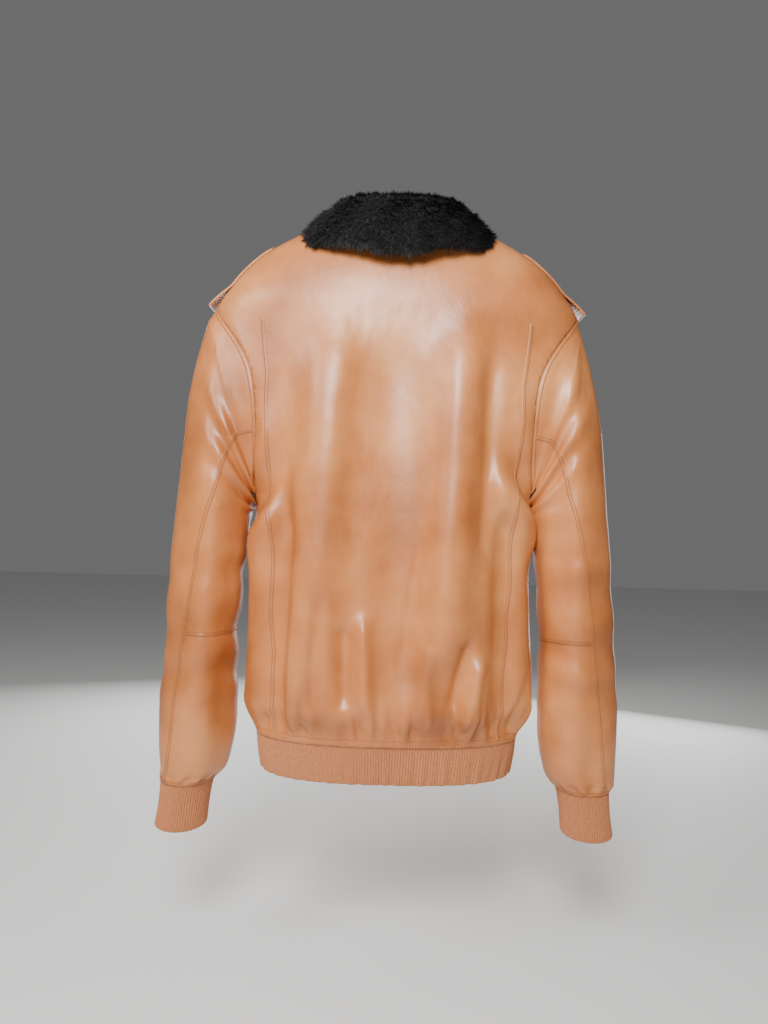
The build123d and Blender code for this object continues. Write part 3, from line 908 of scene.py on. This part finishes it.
def lay_neck_facing(inner):
    """A strip of leather inside the back of the neck."""
    block = inner[:12, LEFT_SIDE + 12 : RIGHT_SIDE - 11]
    block = block - normals_of(block) * 0.9
    obj = thicken(make_mesh("neck_facing_leather", *grid_part(block)), 0.8)
    dress(obj, LEATHER_MAT)
    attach(obj, "torso")
    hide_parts("neck_facing")


def lay_edge(folded, inner, column, side_name, side):
    """The rolled front edge, from the outer leather round to the facing, and the tab below it."""
    outer, back = folded[:, column], inner[:, column]
    towards = np.array([-side, 0, 0])
    rolled = [outer * share + back * (1 - share) + towards * 1.3 for share in (0.75, 0.25)]
    rows = [outer, *rolled, back]
    obj = make_mesh(f"front_edge_{side_name}", *grid_part(np.stack(rows, 1)))
    dress(thicken(obj, 0.6, inward=False), LEATHER_MAT)
    bend_front(obj)
    z = np.linspace(HEM_TOP + 5, HEM_BOTTOM, 10)
    x = np.linspace(EDGE_X, EDGE_X + 17, 8)
    y = np.array([-ring_at(TORSO_RINGS, level)[2] - 0.9 for level in z])
    rows = [np.stack([x * side, np.full(8, depth), np.full(8, level)], -1) for depth, level in zip(y, z)]
    tab = make_mesh(f"hem_tab_{side_name}", *grid_part(np.stack(rows)))
    tab = thicken(tab, 4.4, inward=side > 0)
    bevel = tab.modifiers.new("soft", "BEVEL")
    bevel.width, bevel.segments = 0.9 * MM, 3
    dress(bake(tab), LEATHER_MAT)
    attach(tab, f"front_{side_name}")


def lay_sleeve(side_name, side, folded):
    """A sleeve's leather and its lining."""
    fine = finer_round(finer(folded, 0))
    obj = mirrored(f"leather_sleeve_{side_name}", grid_part(fine, closed=True), side)
    dress(thicken(obj, LEATHER), LEATHER_MAT)
    bend_elbow(obj)
    nodes = ["top_sleeve", "under_sleeve", "top_sleeve_lower", "under_sleeve_lower", "elbow_fold"]
    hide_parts(*[f"{node}_{side_name}" for node in nodes])
    inner = folded - normals_of(folded, True) * LINING_IN
    inner[0] = armhole(turns(SLEEVE_COLUMNS), -LINING_IN)
    obj = mirrored(f"lining_sleeve_{side_name}", grid_part(inner, closed=True), side)
    dress(thicken(obj, LINING), INNER_MAT)
    bend_elbow(obj)
    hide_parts(f"sleeve_lining_{side_name}", f"sleeve_lining_lower_{side_name}")


# ---------------------------------------------------------------- knitted bands
RIB_PITCH, RIB_HEIGHT, BAND_THICKNESS = 3.7, 0.75, 3.6
RIB_STEPS, BAND_ROWS, BAND_TURN = 6, 9, 0.04
HEM_HALF_LENGTH, CUFF_RIBS, BAND_LAP = 430, 62, 4


def band_profile():
    """(share of the height, depth inside) down the outside, round the end and up the inside."""
    straight = 1 - BAND_TURN
    outer = [(t, 0.0) for t in np.linspace(0, straight, BAND_ROWS)]
    turn = np.linspace(-math.pi / 2, math.pi / 2, 5)[1:-1]
    end = [(straight + BAND_TURN * math.cos(a), BAND_THICKNESS / 2 * (1 + math.sin(a))) for a in turn]
    inner = [(t, BAND_THICKNESS) for t in np.linspace(straight, 0.05, BAND_ROWS)]
    return outer + end + inner


def rib_lift(depth, rib):
    """How far a row at some depth stands out: ribs outside, and their hollows inside."""
    return -depth + (RIB_HEIGHT if depth < 1 else -RIB_HEIGHT) * rib


def lay_hem(side_name, side):
    """Half of the hem band: from the tab to the middle of the back."""
    count = RIB_STEPS * int(HEM_HALF_LENGTH / RIB_PITCH)
    column = np.linspace(3.0, LAST_COLUMN / 2, count)
    rib = np.cos(np.arange(count) * 2 * math.pi / RIB_STEPS)
    loose = 1.6 * np.cos(column * 1.9) * np.cos(column * 0.47)
    top = HEM_TOP + BAND_LAP
    rows = []
    for share, depth in band_profile():
        p = torso_skin(column, np.full(count, top + (HEM_BOTTOM - top) * share))
        lift = -0.9 + rib_lift(depth, rib) + loose * share
        rows.append(p + unit(p * [1, 1, 0]) * lift[:, None])
    grid = np.array(rows)
    seam = int(np.searchsorted(column, LEFT_SIDE))
    for name, part in (("hem_rib", grid[:, : seam + 1]), ("hem_rib_back", grid[:, seam:])):
        obj = dress(mirrored(f"{name}_{side_name}", grid_part(part), side), KNIT_MAT)
        if name == "hem_rib":
            bend_front(obj)
            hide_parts(f"hem_band_{side_name}")
        else:
            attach(obj, "torso")
            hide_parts("hem_band_back")


def lay_cuff(side_name, side):
    """The band at the end of a sleeve."""
    count = RIB_STEPS * CUFF_RIBS
    rib = np.cos(np.arange(count) * 2 * math.pi / RIB_STEPS)
    first = CUFF_AT - 0.006
    rows = []
    for share, depth in band_profile():
        base = sleeve_point(np.full(count, first + (1 - first) * share), turns(count))
        out = unit((base - base.mean(0)) * [1, 1, 0])
        rows.append(base + out * (-0.8 + rib_lift(depth, rib))[:, None])
    obj = mirrored(f"cuff_rib_{side_name}", grid_part(np.array(rows), closed=True), side)
    dress(obj, KNIT_MAT)
    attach(obj, f"forearm_{side_name}")
    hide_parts(f"cuff_{side_name}")


# ---------------------------------------------------------------- seams and their thread
SEAM_THREADS, SEAM_TOP = (-1.9, 1.6), 0.75
BACK_SEAM = (159, -150, 133, -650)  # x and z near the top, x and z near the bottom
BACK_SEAM_TOP, EDGE_INSETS, HEM_ROW = -118, (1.3, 3.6), ROWS - 2.2
UNDER_ARM_ROW = 56  # the first row whose side seam is clear of the armhole
OUTER_SEAM = [0.0, 0.35, 0.62, 1.0], [112, 100, 72, 48]  # share of the sleeve, turn in degrees
INNER_SEAM, ELBOW_SEAM = 0.72, (74, 255)  # share of the way round, and the first and last turn


def seam_parts(seams):
    """What seams are made of: a name, (points, faces) and a material, for the laps and for the threads."""
    lapped, threads = [], []
    for path, normal, wide in seams:
        if wide:
            lapped.append(ribbon(path, normal, wide))
        across = unit(np.cross(normal, np.gradient(path, axis=0)))
        for offset in SEAM_THREADS if wide else (0,):
            threads += stitches(path + across * offset + normal * (SEAM_TOP if wide else 0), normal)
    kinds = (("seam", lapped, SEAM_MAT), ("thread", threads, THREAD_MAT))
    return [(name, join_points(parts), mat) for name, parts, mat in kinds if parts]


def lay_seams(torso, sleeves):
    """Lapped seams with a row of thread each side, on the folded leather."""
    for where in ("back", "left", "right"):
        for name, part, mat in seam_parts(torso_seams(torso, where)):
            obj = dress(make_mesh(f"{name}_{where}", *part), mat)
            place_torso_piece(obj, "back" if where == "back" else f"front_{where}")
    for (side_name, side), sleeve in zip(SIDES, sleeves):
        for name, part, mat in seam_parts(sleeve_seams(sleeve)):
            obj = mirrored(f"{name}_sleeve_{side_name}", part, side)
            bend_elbow(dress(obj, mat))


def torso_seams(torso, where):
    """Paths as (points, normals, lapped width or 0)."""
    found = []
    rows = np.linspace(0, ROWS - 1, 180)
    if where == "back":
        x_top, z_top, x_low, z_low = BACK_SEAM
        for side, side_column in ((1, LEFT_SIDE), (-1, RIGHT_SIDE)):
            z = np.linspace(BACK_SEAM_TOP, HEM_TOP + 3, 170)
            target = (x_top + (z - z_top) * (x_low - x_top) / (z_low - z_top)) * side
            found.append((*on_back(torso, target, z), 6.0))
            low = rows[rows > UNDER_ARM_ROW]
            found.append((*torso.at(low, np.full(len(low), float(side_column) + 0.6 * side)), 5.0))
        column = np.linspace(LEFT_SIDE, RIGHT_SIDE, 240)
    else:
        edge, step = (0, 1) if where == "left" else (LAST_COLUMN, -1)
        for inset in EDGE_INSETS:
            found.append((*torso.at(rows[8:], np.full(len(rows) - 8, edge + step * inset)), 0))
        column = np.linspace(*((0, LEFT_SIDE) if where == "left" else (RIGHT_SIDE, LAST_COLUMN)), 120)
    found.append((*torso.at(np.full(len(column), HEM_ROW), column), 0))
    return found


def on_back(torso, target_x, target_z):
    """Points and normals on the back where the leather passes the given x and z."""
    part = torso.grid[:, LEFT_SIDE : RIGHT_SIDE + 1]
    rows, columns = [], []
    for x, z in zip(target_x, target_z):
        distance = (part[..., 0] - x) ** 2 + (part[..., 2] - z) ** 2
        j, i = np.unravel_index(np.argmin(distance), distance.shape)
        rows.append(j)
        columns.append(i + LEFT_SIDE)
    return torso.at(moving_mean(rows, 7), moving_mean(columns, 7))


def sleeve_seams(sleeve):
    """The armhole, the two long seams, the elbow's and the cuff's, as torso_seams gives them."""
    rows = sleeve.grid.shape[0]
    turn_step = 2 * math.pi / SLEEVE_COLUMNS
    column = np.linspace(0, SLEEVE_COLUMNS, 150)
    found = [(*sleeve.at(np.full(150, 0.5), column), 8.0)]
    row = np.linspace(1, rows - 2, 260)
    turn = np.interp(row / rows, OUTER_SEAM[0], np.radians(OUTER_SEAM[1]))
    found.append((*sleeve.at(row, turn / turn_step), 6.0))
    found.append((*sleeve.at(row, np.full(260, SLEEVE_COLUMNS * INNER_SEAM)), 4.5))
    elbow = np.linspace(*np.radians(ELBOW_SEAM), 90)
    found.append((*sleeve.at(np.full(90, rows * ELBOW_SHARE), elbow / turn_step), 5.0))
    found.append((*sleeve.at(np.full(150, rows - 2.2), column), 4.0))
    return found


# ---------------------------------------------------------------- collar
COLLAR_COLUMNS, FUR_DEPTH = (16, 60), 11.0
COLLAR_TOP, COLLAR_BOTTOM = 30, -125
ROLL_OUT, ROLL_IN = 26, 24  # where the roll over the top starts outside and inside
TUFTS = 30000


def skin_height(x, y):
    """The height of the jacket's skin above the point (x, y)."""
    levels = np.linspace(12, -200, 107)
    for z in levels:
        half, back, front = ring_at(TORSO_RINGS, z)
        if (abs(x) / half) ** 3 + (abs(y) / (back if y > 0 else front)) ** 3 <= 1:
            return z
    return levels[-1]


def collar_grid():
    """A closed loop of points across the collar at each column: outside down, round the edge, inside up."""
    heights = np.linspace(COLLAR_TOP, COLLAR_BOTTOM, 60)
    outer = Surface(COLLAR_RINGS, 0.0, COLLAR_TOP, COLLAR_BOTTOM, *COLLAR_COLUMNS)
    inner = Surface(COLLAR_RINGS, -FUR_DEPTH, COLLAR_TOP, COLLAR_BOTTOM, *COLLAR_COLUMNS)
    column = np.arange(outer.columns)
    low = []
    for c in column:
        aim = -55 + 0.335 * (outer(c, heights)[:, 1] - 90)
        low.append(heights[np.argmin(np.abs(heights - aim))])
    low = np.array(low)
    edge = outer(column, low)
    low = low + 24 * (1 - np.exp(-((edge[:, 0] / 72) ** 2))) * np.clip((edge[:, 1] + 50) / 60, 0, 1)
    low = np.maximum(low, [skin_height(x, y) + 3 for x, y, _ in edge]) + 5
    low = np.minimum(low, 16)
    for _ in range(3):
        low = moving_mean(low, 2)
    low = low + 7

    def between(z, share):
        return outer(column, z) * (1 - share) + inner(column, z) * share

    quarter = np.linspace(0, math.pi, 7)[1:-1]
    loop = [outer(column, ROLL_OUT + (low - ROLL_OUT) * t) for t in np.linspace(0, 1, 22)]
    loop += [between(low - 6.5 * math.sin(a), (1 - math.cos(a)) / 2) for a in quarter]
    loop += [inner(column, low + (ROLL_IN - low) * t) for t in np.linspace(0, 1, 16)]
    for a in quarter:
        loop.append(between(ROLL_OUT, (1 + math.cos(a)) / 2) + np.array([0, 0, 8.0 * math.sin(a)]))
    return np.array(loop)


def lay_collar():
    """The collar's body, the fur on each half, and the leather under it."""
    loop = collar_grid()
    fine = finer(np.concatenate([loop, loop[:1]]), 0)[:-1]
    fine = finer(fine, 1)
    rows, columns = fine.shape[:2]
    across = np.gradient(fine, axis=1)
    down = np.roll(fine, -1, 0) - np.roll(fine, 1, 0)
    normal = unit(np.cross(down, across), 1e-9)
    lumps = 1.6 * wave((rows, columns), (7, 9), 21) + 1.0 * wave((rows, columns), (3, 4), 22)
    body = fine + normal * (lumps - 1.0)[..., None]
    faces = grid_faces(rows, columns)
    wrap = [[(rows - 1) * columns + i, i, i + 1, (rows - 1) * columns + i + 1] for i in range(columns - 1)]
    ends = [[j * columns for j in range(rows)][::-1], [j * columns + columns - 1 for j in range(rows)]]
    obj = make_mesh("fur_body", body, faces.tolist() + wrap + ends)
    dress(obj, FUR_MAT)
    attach(obj, "torso")
    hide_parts("fur_collar")
    for (side_name, _), half in zip(SIDES, ((0, columns // 2), (columns // 2, columns - 1))):
        points, tufts = grow_fur(body, normal, half)
        pile = make_mesh(f"fur_pile_{side_name}", points, tufts)
        dress(pile, FUR_MAT)
        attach(pile, "torso")
    lay_undercollar()


def grow_fur(body, normal, half):
    """Tapered locks over the outside, the roll and the edges, combed down and a little apart."""
    rows = len(body)
    shown = np.concatenate([np.arange(0, 56), np.arange(rows - 12, rows)])
    j = rng.choice(shown, TUFTS)
    i = rng.integers(half[0], half[1], TUFTS)
    f, g = rng.random((2, TUFTS, 1))
    j2 = (j + 1) % rows
    near, far = [body[j, k] * (1 - f) + body[j2, k] * f for k in (i, i + 1)]
    root = near * (1 - g) + far * g
    out = normal[j, i]
    down = unit(body[j2, i] - body[j, i], 1e-9)
    side = np.cross(out, down)
    sway = 0.55 * np.sin(root[:, :1] * 0.11 + root[:, 2:] * 0.07) + rng.normal(0, 0.35, (TUFTS, 1))
    lift = rng.uniform(0.35, 1.0, (TUFTS, 1))
    direction = out * lift + down * rng.uniform(0.5, 1.1, (TUFTS, 1)) + side * sway
    direction = unit(direction)
    length = rng.uniform(5, 11, (TUFTS, 1)) * np.clip(1.15 - (root[:, 2:] + 10) / 90, 0.6, 1)
    sag = down * 0.35 + np.array([0, 0, -0.25])
    middle = root + direction * length * 0.5
    tip = root + direction * length * 0.9 + sag * length * 0.4
    width = unit(np.cross(direction, out + 0.3 * side), 1e-9) * rng.uniform(0.28, 0.5, (TUFTS, 1))
    points = np.stack([root - width, root + width, middle + width * 0.75, middle - width * 0.75, tip], 1)
    base = np.arange(TUFTS)[:, None] * 5
    quads = (base + [0, 1, 2, 3]).tolist()
    tips = (base + [3, 2, 4]).tolist()
    return points.reshape(-1, 3), quads + tips


def lay_undercollar():
    """The leather inside the collar's fold, from under the fur down into the neck."""
    under = Surface(COLLAR_RINGS, -FUR_DEPTH - 1, COLLAR_TOP, COLLAR_BOTTOM, *COLLAR_COLUMNS)
    stand = Surface(STAND_RINGS, 0, 28, -74, *COLLAR_COLUMNS)
    column = np.arange(under.columns)
    rows = [under(column, -30 * (1 - t) + 27 * t) for t in np.linspace(0, 1, 12)]
    rows += [stand(column, 27 - 50 * t) for t in np.linspace(0, 1, 12)]
    obj = make_mesh("undercollar_leather", *grid_part(np.array(rows)))
    dress(thicken(obj, 1.6), LEATHER_MAT)
    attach(obj, "torso")
    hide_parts("undercollar")


# ---------------------------------------------------------------- shoulder straps
STRAP_LINE = [(236.5, -101), (212, -63), (180, -31), (157, -17)]
STRAP_WIDTH, STRAP_END, SNAP_SHARE = 40, 34, 0.72
STRAP_ROWS, STRAP_COLUMNS, STRAP_THICKNESS = 60, 25, 2.4
STRAP_ROOT, ROOT_LIFT = 42, 1.6  # how much of the strap lies free of the skin at its root, and how high
CAP_PROFILE = [(0, 2.5), (3.0, 2.3), (5.2, 1.5), (6.2, 0.6), (6.3, -0.3)]
STUD_PROFILE = [(0, 0), (3.2, 0.0), (4.4, -0.5), (4.6, -2.5)]


def height_over_skin(points, up):
    """How far each point is above the jacket's skin, along up."""
    return -last_inside(points, up, -25.0, 6.0, 30)


def lathe_part(centre, axis, profile):
    """A turned piece on an axis: profile is (radius, height) from the middle of its top outwards."""
    axis = unit(axis)
    u = unit(np.cross(axis, OVER_Y))
    v = np.cross(axis, u)
    turn = turns(28)[:, None]
    ring = u * np.cos(turn) + v * np.sin(turn)
    rows = [centre + ring * max(radius, 0.02) + axis * height for radius, height in profile]
    return grid_part(np.array(rows)[::-1], closed=True)


def lay_strap(side_name, side):
    """A shoulder strap with its thread and cap, and the stud under it that stays on the shoulder."""
    line = np.array(STRAP_LINE, float)
    at = lengths_along(line)
    s = np.linspace(0, at[-1] + 7, STRAP_ROWS)
    smooth = np.ones(13) / 13
    x, z = [np.interp(s, at, line[:, k]) for k in (0, 1)]
    x, z = [np.convolve(np.pad(v, 6, "reflect", reflect_type="odd"), smooth, "valid") for v in (x, z)]
    middle = np.stack([x, 0 * x, z], -1)
    up = np.cross(unit(np.gradient(middle, axis=0)), OVER_Y)
    up *= np.sign(up[:, 2:])
    half = STRAP_WIDTH / 2 + (STRAP_END - STRAP_WIDTH) / 2 * s / s[-1]
    half = np.minimum(half, 2.0 + 1.15 * (s[-1] - s))
    across = np.linspace(-1, 1, STRAP_COLUMNS)
    dome = 2.6 + 0.7 * (1 - np.abs(across) ** 6)
    flat = middle[:, None] + OVER_Y * (half[:, None] * across[None])[..., None]
    seated = np.clip(s / STRAP_ROOT, 0, 1)[:, None]
    seated = seated * seated * (3 - 2 * seated)
    drop = height_over_skin(flat, up[:, None]) * seated + ROOT_LIFT * (1 - seated)
    grid = flat + up[:, None] * (dome[None] - drop)[..., None]
    obj = mirrored(f"strap_{side_name}", grid_part(grid), side)
    dress(thicken(obj, STRAP_THICKNESS, inward=False), LEATHER_MAT)
    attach(obj, f"epaulette_{side_name}")
    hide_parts(f"epaulette_{side_name}")
    threads = []
    for column in (2, STRAP_COLUMNS - 3):
        threads += stitches(grid[:-7, column] + up[:-7] * 0.1, up[:-7])
    thread = mirrored(f"strap_thread_{side_name}", join_points(threads), side)
    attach(dress(thread, THREAD_MAT), f"epaulette_{side_name}")
    snap = int(STRAP_ROWS * SNAP_SHARE)
    centre = grid[snap, STRAP_COLUMNS // 2]
    cap = mirrored(f"strap_cap_{side_name}", lathe_part(centre, up[snap], CAP_PROFILE), side)
    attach(dress(cap, SNAP_MAT), f"epaulette_{side_name}")
    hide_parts(f"epaulette_cap_{side_name}")
    foot = centre - up[snap] * 2.6
    stud = mirrored(f"strap_stud_{side_name}", lathe_part(foot, up[snap], STUD_PROFILE), side)
    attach(dress(stud, SNAP_MAT), "torso")
    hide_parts("epaulette_studs")


# ---------------------------------------------------------------- zips and pockets
TOOTH_PITCH, TOOTH_HALF = 4.0, 1.25
ZIP_TOP, ZIP_BOTTOM, ZIP_TOP_Y, ZIP_SLOPE = -119, -674, -56.2, 0.022
ZIP_X, TAPE_IN, TAPE_OUT = 22, 23.0, 39


def tooth_row(length, tip, cord):
    """Teeth that point to -X from a cord at x = 0, as boxes with a raised head, down -Z."""
    teeth = []
    for k in range(int(length / TOOTH_PITCH)):
        z, y = -k * TOOTH_PITCH - 2.0, TOOTH_HALF * 0.8
        teeth.append(box_part((-tip + 1.2, -y, z - 0.8), (0.6, y, z + 0.8), 0.2))
        teeth.append(box_part((-tip, -TOOTH_HALF, z - 1.1), (-tip + 1.6, TOOTH_HALF, z + 1.1), 0.35))
    path = np.array([[cord / 2, 0, -t] for t in np.linspace(0, length, 30)])
    return teeth, [tube_part(path, cord / 2)]


def moved(parts, x_axis, y_axis, z_axis, origin):
    """Parts joined into one and placed by their axes and origin."""
    points, faces = join_points(parts)
    return points @ np.array([x_axis, y_axis, z_axis]) + origin, faces


def lay_main_zip(side_name, side):
    """One half of the front zip: its teeth with the end pieces, its tape and its cord."""
    length = ZIP_TOP - ZIP_BOTTOM
    slant = math.hypot(ZIP_SLOPE, 1)
    y_axis, z_axis = np.array([0, 1, -ZIP_SLOPE]) / slant, np.array([0, ZIP_SLOPE, 1]) / slant
    place = ([1, 0, 0], y_axis, z_axis, np.array([0, ZIP_TOP_Y, ZIP_TOP]))
    teeth, cord = tooth_row(length - 10, 4.2, 2.0)
    teeth, cord = [[(p + [ZIP_X, 0, 0], f) for p, f in parts] for parts in (teeth, cord)]
    if side > 0:
        teeth.append(box_part((19, -1.2, -length - 3), (24, 1.2, -length + 9.6), 0.6))
    else:
        teeth.append(box_part((13, -2.8, -length - 4), (24, 2.8, -length + 9.6), 1.0))
    obj = mirrored(f"zip_row_{side_name}", moved(teeth, *place), side, smooth=False)
    bend_front(dress(obj, METAL_MAT))
    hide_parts(f"zip_teeth_{side_name}")
    x = np.linspace(TAPE_IN, TAPE_OUT, 9)
    near = np.clip((x - TAPE_IN) / 6, 0, 1)
    rows = []
    for z in np.linspace(ZIP_TOP, ZIP_BOTTOM + 4, 120):
        half, _, front = ring_at(TORSO_RINGS, z)
        y = -front * (1 - (x / half) ** FRONT_POWER) ** (1 / FRONT_POWER)
        straight = ZIP_TOP_Y + ZIP_SLOPE * (z - ZIP_TOP)
        rows.append(np.stack([x, straight * (1 - near) + (y + 2.4) * near, np.full(9, z)], -1))
    tape = thicken(mirrored(f"zip_strip_{side_name}", grid_part(np.array(rows)), side), 0.5)
    bend_front(dress(tape, TAPE_MAT))
    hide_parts(f"zip_tape_{side_name}")
    rope = mirrored(f"zip_cord_{side_name}", moved(cord, *place), side)
    bend_front(dress(rope, TAPE_MAT))


WELT_HALF, WELT_CORNER, MOUTH_HALF = 12.0, 4.0, 6.3
WELT_PROFILE = [  # share of the way in from the outline, and depth: below 0 stands out from the front
    (0.0, 0.9), (0.0, -0.8), (0.16, -1.6), (0.5, -1.8), (0.84, -1.6), (1.0, -0.8), (1.0, 3.2)
]


def lay_pocket(side_name, side):
    """The welt frame with its stitching, and the short zip in it."""
    up = POCKET_TOP - POCKET_BOTTOM
    length = np.linalg.norm(up)
    up /= length
    across = np.array([up[2], 0, -up[0]]) / math.hypot(up[0], up[2])
    place = (across, np.cross(up, across), up, (POCKET_TOP + POCKET_BOTTOM) / 2)
    half_x, half_z = WELT_HALF - WELT_CORNER, length / 2 + 7 - WELT_CORNER
    outline = []
    for cx, cz, start in ((1, 1, 0), (-1, 1, 90), (-1, -1, 180), (1, -1, 270)):
        for a in np.radians(np.linspace(start, start + 90, 7)):
            outline.append((cx * half_x + WELT_CORNER * math.cos(a), cz * half_z + WELT_CORNER * math.sin(a)))
    outline = np.array(outline)
    mouth = np.clip(outline, [-MOUTH_HALF, -length / 2], [MOUTH_HALF, length / 2])
    rings = [np.insert(outline * (1 - t) + mouth * t, 1, y, axis=1) for t, y in WELT_PROFILE]
    points, faces = grid_part(np.array(rings), closed=True)
    obj = mirrored(f"welt_{side_name}", moved([(points, flip_faces(faces, -1))], *place), side)
    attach(dress(obj, LEATHER_MAT), f"front_{side_name}")
    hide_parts(f"pocket_welt_{side_name}")
    loop = spread(np.vstack([outline, outline[:1]]) * 0.5 + np.vstack([mouth, mouth[:1]]) * 0.5, 260)
    threads = stitches(np.insert(loop, 1, -1.45, axis=1), np.tile(-OVER_Y, (260, 1)))
    obj = mirrored(f"welt_thread_{side_name}", moved(threads, *place), side)
    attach(dress(obj, THREAD_MAT), f"front_{side_name}")
    row = length - 2
    teeth, cord = tooth_row(row, 2.4, 1.2)
    both, cords, tapes = [], [], []
    for s in (1, -1):
        for parts, half in ((teeth, both), (cord, cords)):
            half += [((p + [3.2, 3.4, row / 2]) * [s, 1, 1], flip_faces(f, s)) for p, f in parts]
        low, high = sorted((s * 3.9, s * 11.5))
        tapes.append(box_part((low, 3.1, -row / 2), (high, 3.7, row / 2), 0.0))
    obj = mirrored(f"pocket_row_{side_name}", moved(both, *place), side, smooth=False)
    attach(dress(obj, METAL_MAT), f"front_{side_name}")
    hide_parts(f"pocket_zip_{side_name}")
    obj = mirrored(f"pocket_strip_{side_name}", moved(cords + tapes, *place), side, smooth=False)
    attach(dress(obj, TAPE_MAT), f"front_{side_name}")


def lay_loop():
    """The rolled loop inside the back of the neck."""
    turn = np.linspace(-1, 1, 40)
    path = np.stack([30 * turn, 44.6 - 17.6 * (1 - turn**2), np.full(40, -9.0)], -1)
    obj = make_mesh("loop_roll", *tube_part(path, 2.3, 12))
    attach(dress(obj, LEATHER_MAT), "hanger_loop")
    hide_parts("hanger_loop")


def finish_hard_parts():
    """Metal on the sliders and pulls, which keep the frame's own shapes."""
    for name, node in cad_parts.items():
        if node.hide_render:
            continue
        if name.startswith(("zip_slider", "zip_pull", "pocket_slider", "pocket_pull")):
            node.data.materials.clear()
            node.data.materials.append(METAL_MAT)


# ---------------------------------------------------------------- the stage
CAMERA_AT, CAMERA_HEIGHT, CAMERA_X, VIEW_ANGLE, CAMERA_ROLL = 1.05, -0.355, 0.010, 64.0, 1.5
SENSOR = 36


LAMPS = [  # name, place, power, size
    ("key_behind", (0.2, 1.5, 0.5), 46, 0.55),
    ("side_behind", (1.2, 1.0, 0.55), 16, 0.6),
    ("key_front", (0.5, -1.7, -0.05), 22, 0.9),
    ("low_front", (-0.8, -1.5, -0.45), 10, 0.8),
]
JACKET_MIDDLE, FLOOR_HEIGHT = (0, 0, -0.35), -0.95
WORLD_COLOUR, WORLD_STRENGTH = (0.95, 0.95, 0.97, 1), 0.16


def area_light(name, place, power, size):
    """A square white lamp at place, turned to the jacket."""
    data = bpy.data.lights.new(name, "AREA")
    data.energy, data.size = power, size
    light = bpy.data.objects.new(name, data)
    light.location = place
    light.rotation_euler = (Vector(JACKET_MIDDLE) - Vector(place)).to_track_quat("-Z", "Y").to_euler()
    bpy.context.scene.collection.objects.link(light)


def set_stage():
    """The floor, the lamps and the camera behind the jacket."""
    floor_mat, *_ = material("floor", (0.78, 0.77, 0.75), 0.7)
    bpy.ops.mesh.primitive_plane_add(size=12, location=(0, 0, FLOOR_HEIGHT))
    floor = bpy.context.object
    floor.name = "floor"
    floor.data.materials.append(floor_mat)
    floor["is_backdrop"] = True
    world = bpy.data.worlds.new("studio")
    bpy.context.scene.world = world
    world.use_nodes = True
    background = world.node_tree.nodes["Background"]
    background.inputs["Color"].default_value = WORLD_COLOUR
    background.inputs["Strength"].default_value = WORLD_STRENGTH
    for lamp in LAMPS:
        area_light(*lamp)
    data = bpy.data.cameras.new("camera")
    data.sensor_fit = "VERTICAL"
    data.sensor_height = SENSOR
    data.lens = SENSOR / 2 / math.tan(math.radians(VIEW_ANGLE / 2))
    camera = bpy.data.objects.new("camera", data)
    camera.location = (CAMERA_X, CAMERA_AT, CAMERA_HEIGHT)
    camera.rotation_mode = "QUATERNION"
    level = Euler((math.pi / 2, 0, math.pi)).to_quaternion()
    camera.rotation_quaternion = level @ Quaternion((0, 0, 1), math.radians(CAMERA_ROLL))
    bpy.context.scene.collection.objects.link(camera)
    bpy.context.scene.camera = camera


torso_base, torso_folded = fold_torso()
lay_torso(torso_base, torso_folded)
folded_sleeves = []
for (side_name, side), seed in zip(SIDES, (31, 47)):
    sleeve_folded = fold_sleeve(side, seed)
    lay_sleeve(side_name, side, sleeve_folded)
    folded_sleeves.append(Folded(sleeve_folded, closed=True))
    lay_hem(side_name, side)
    lay_cuff(side_name, side)
    lay_strap(side_name, side)
    lay_main_zip(side_name, side)
    lay_pocket(side_name, side)
lay_seams(Folded(torso_folded), folded_sleeves)
lay_collar()
lay_loop()
finish_hard_parts()
set_stage()
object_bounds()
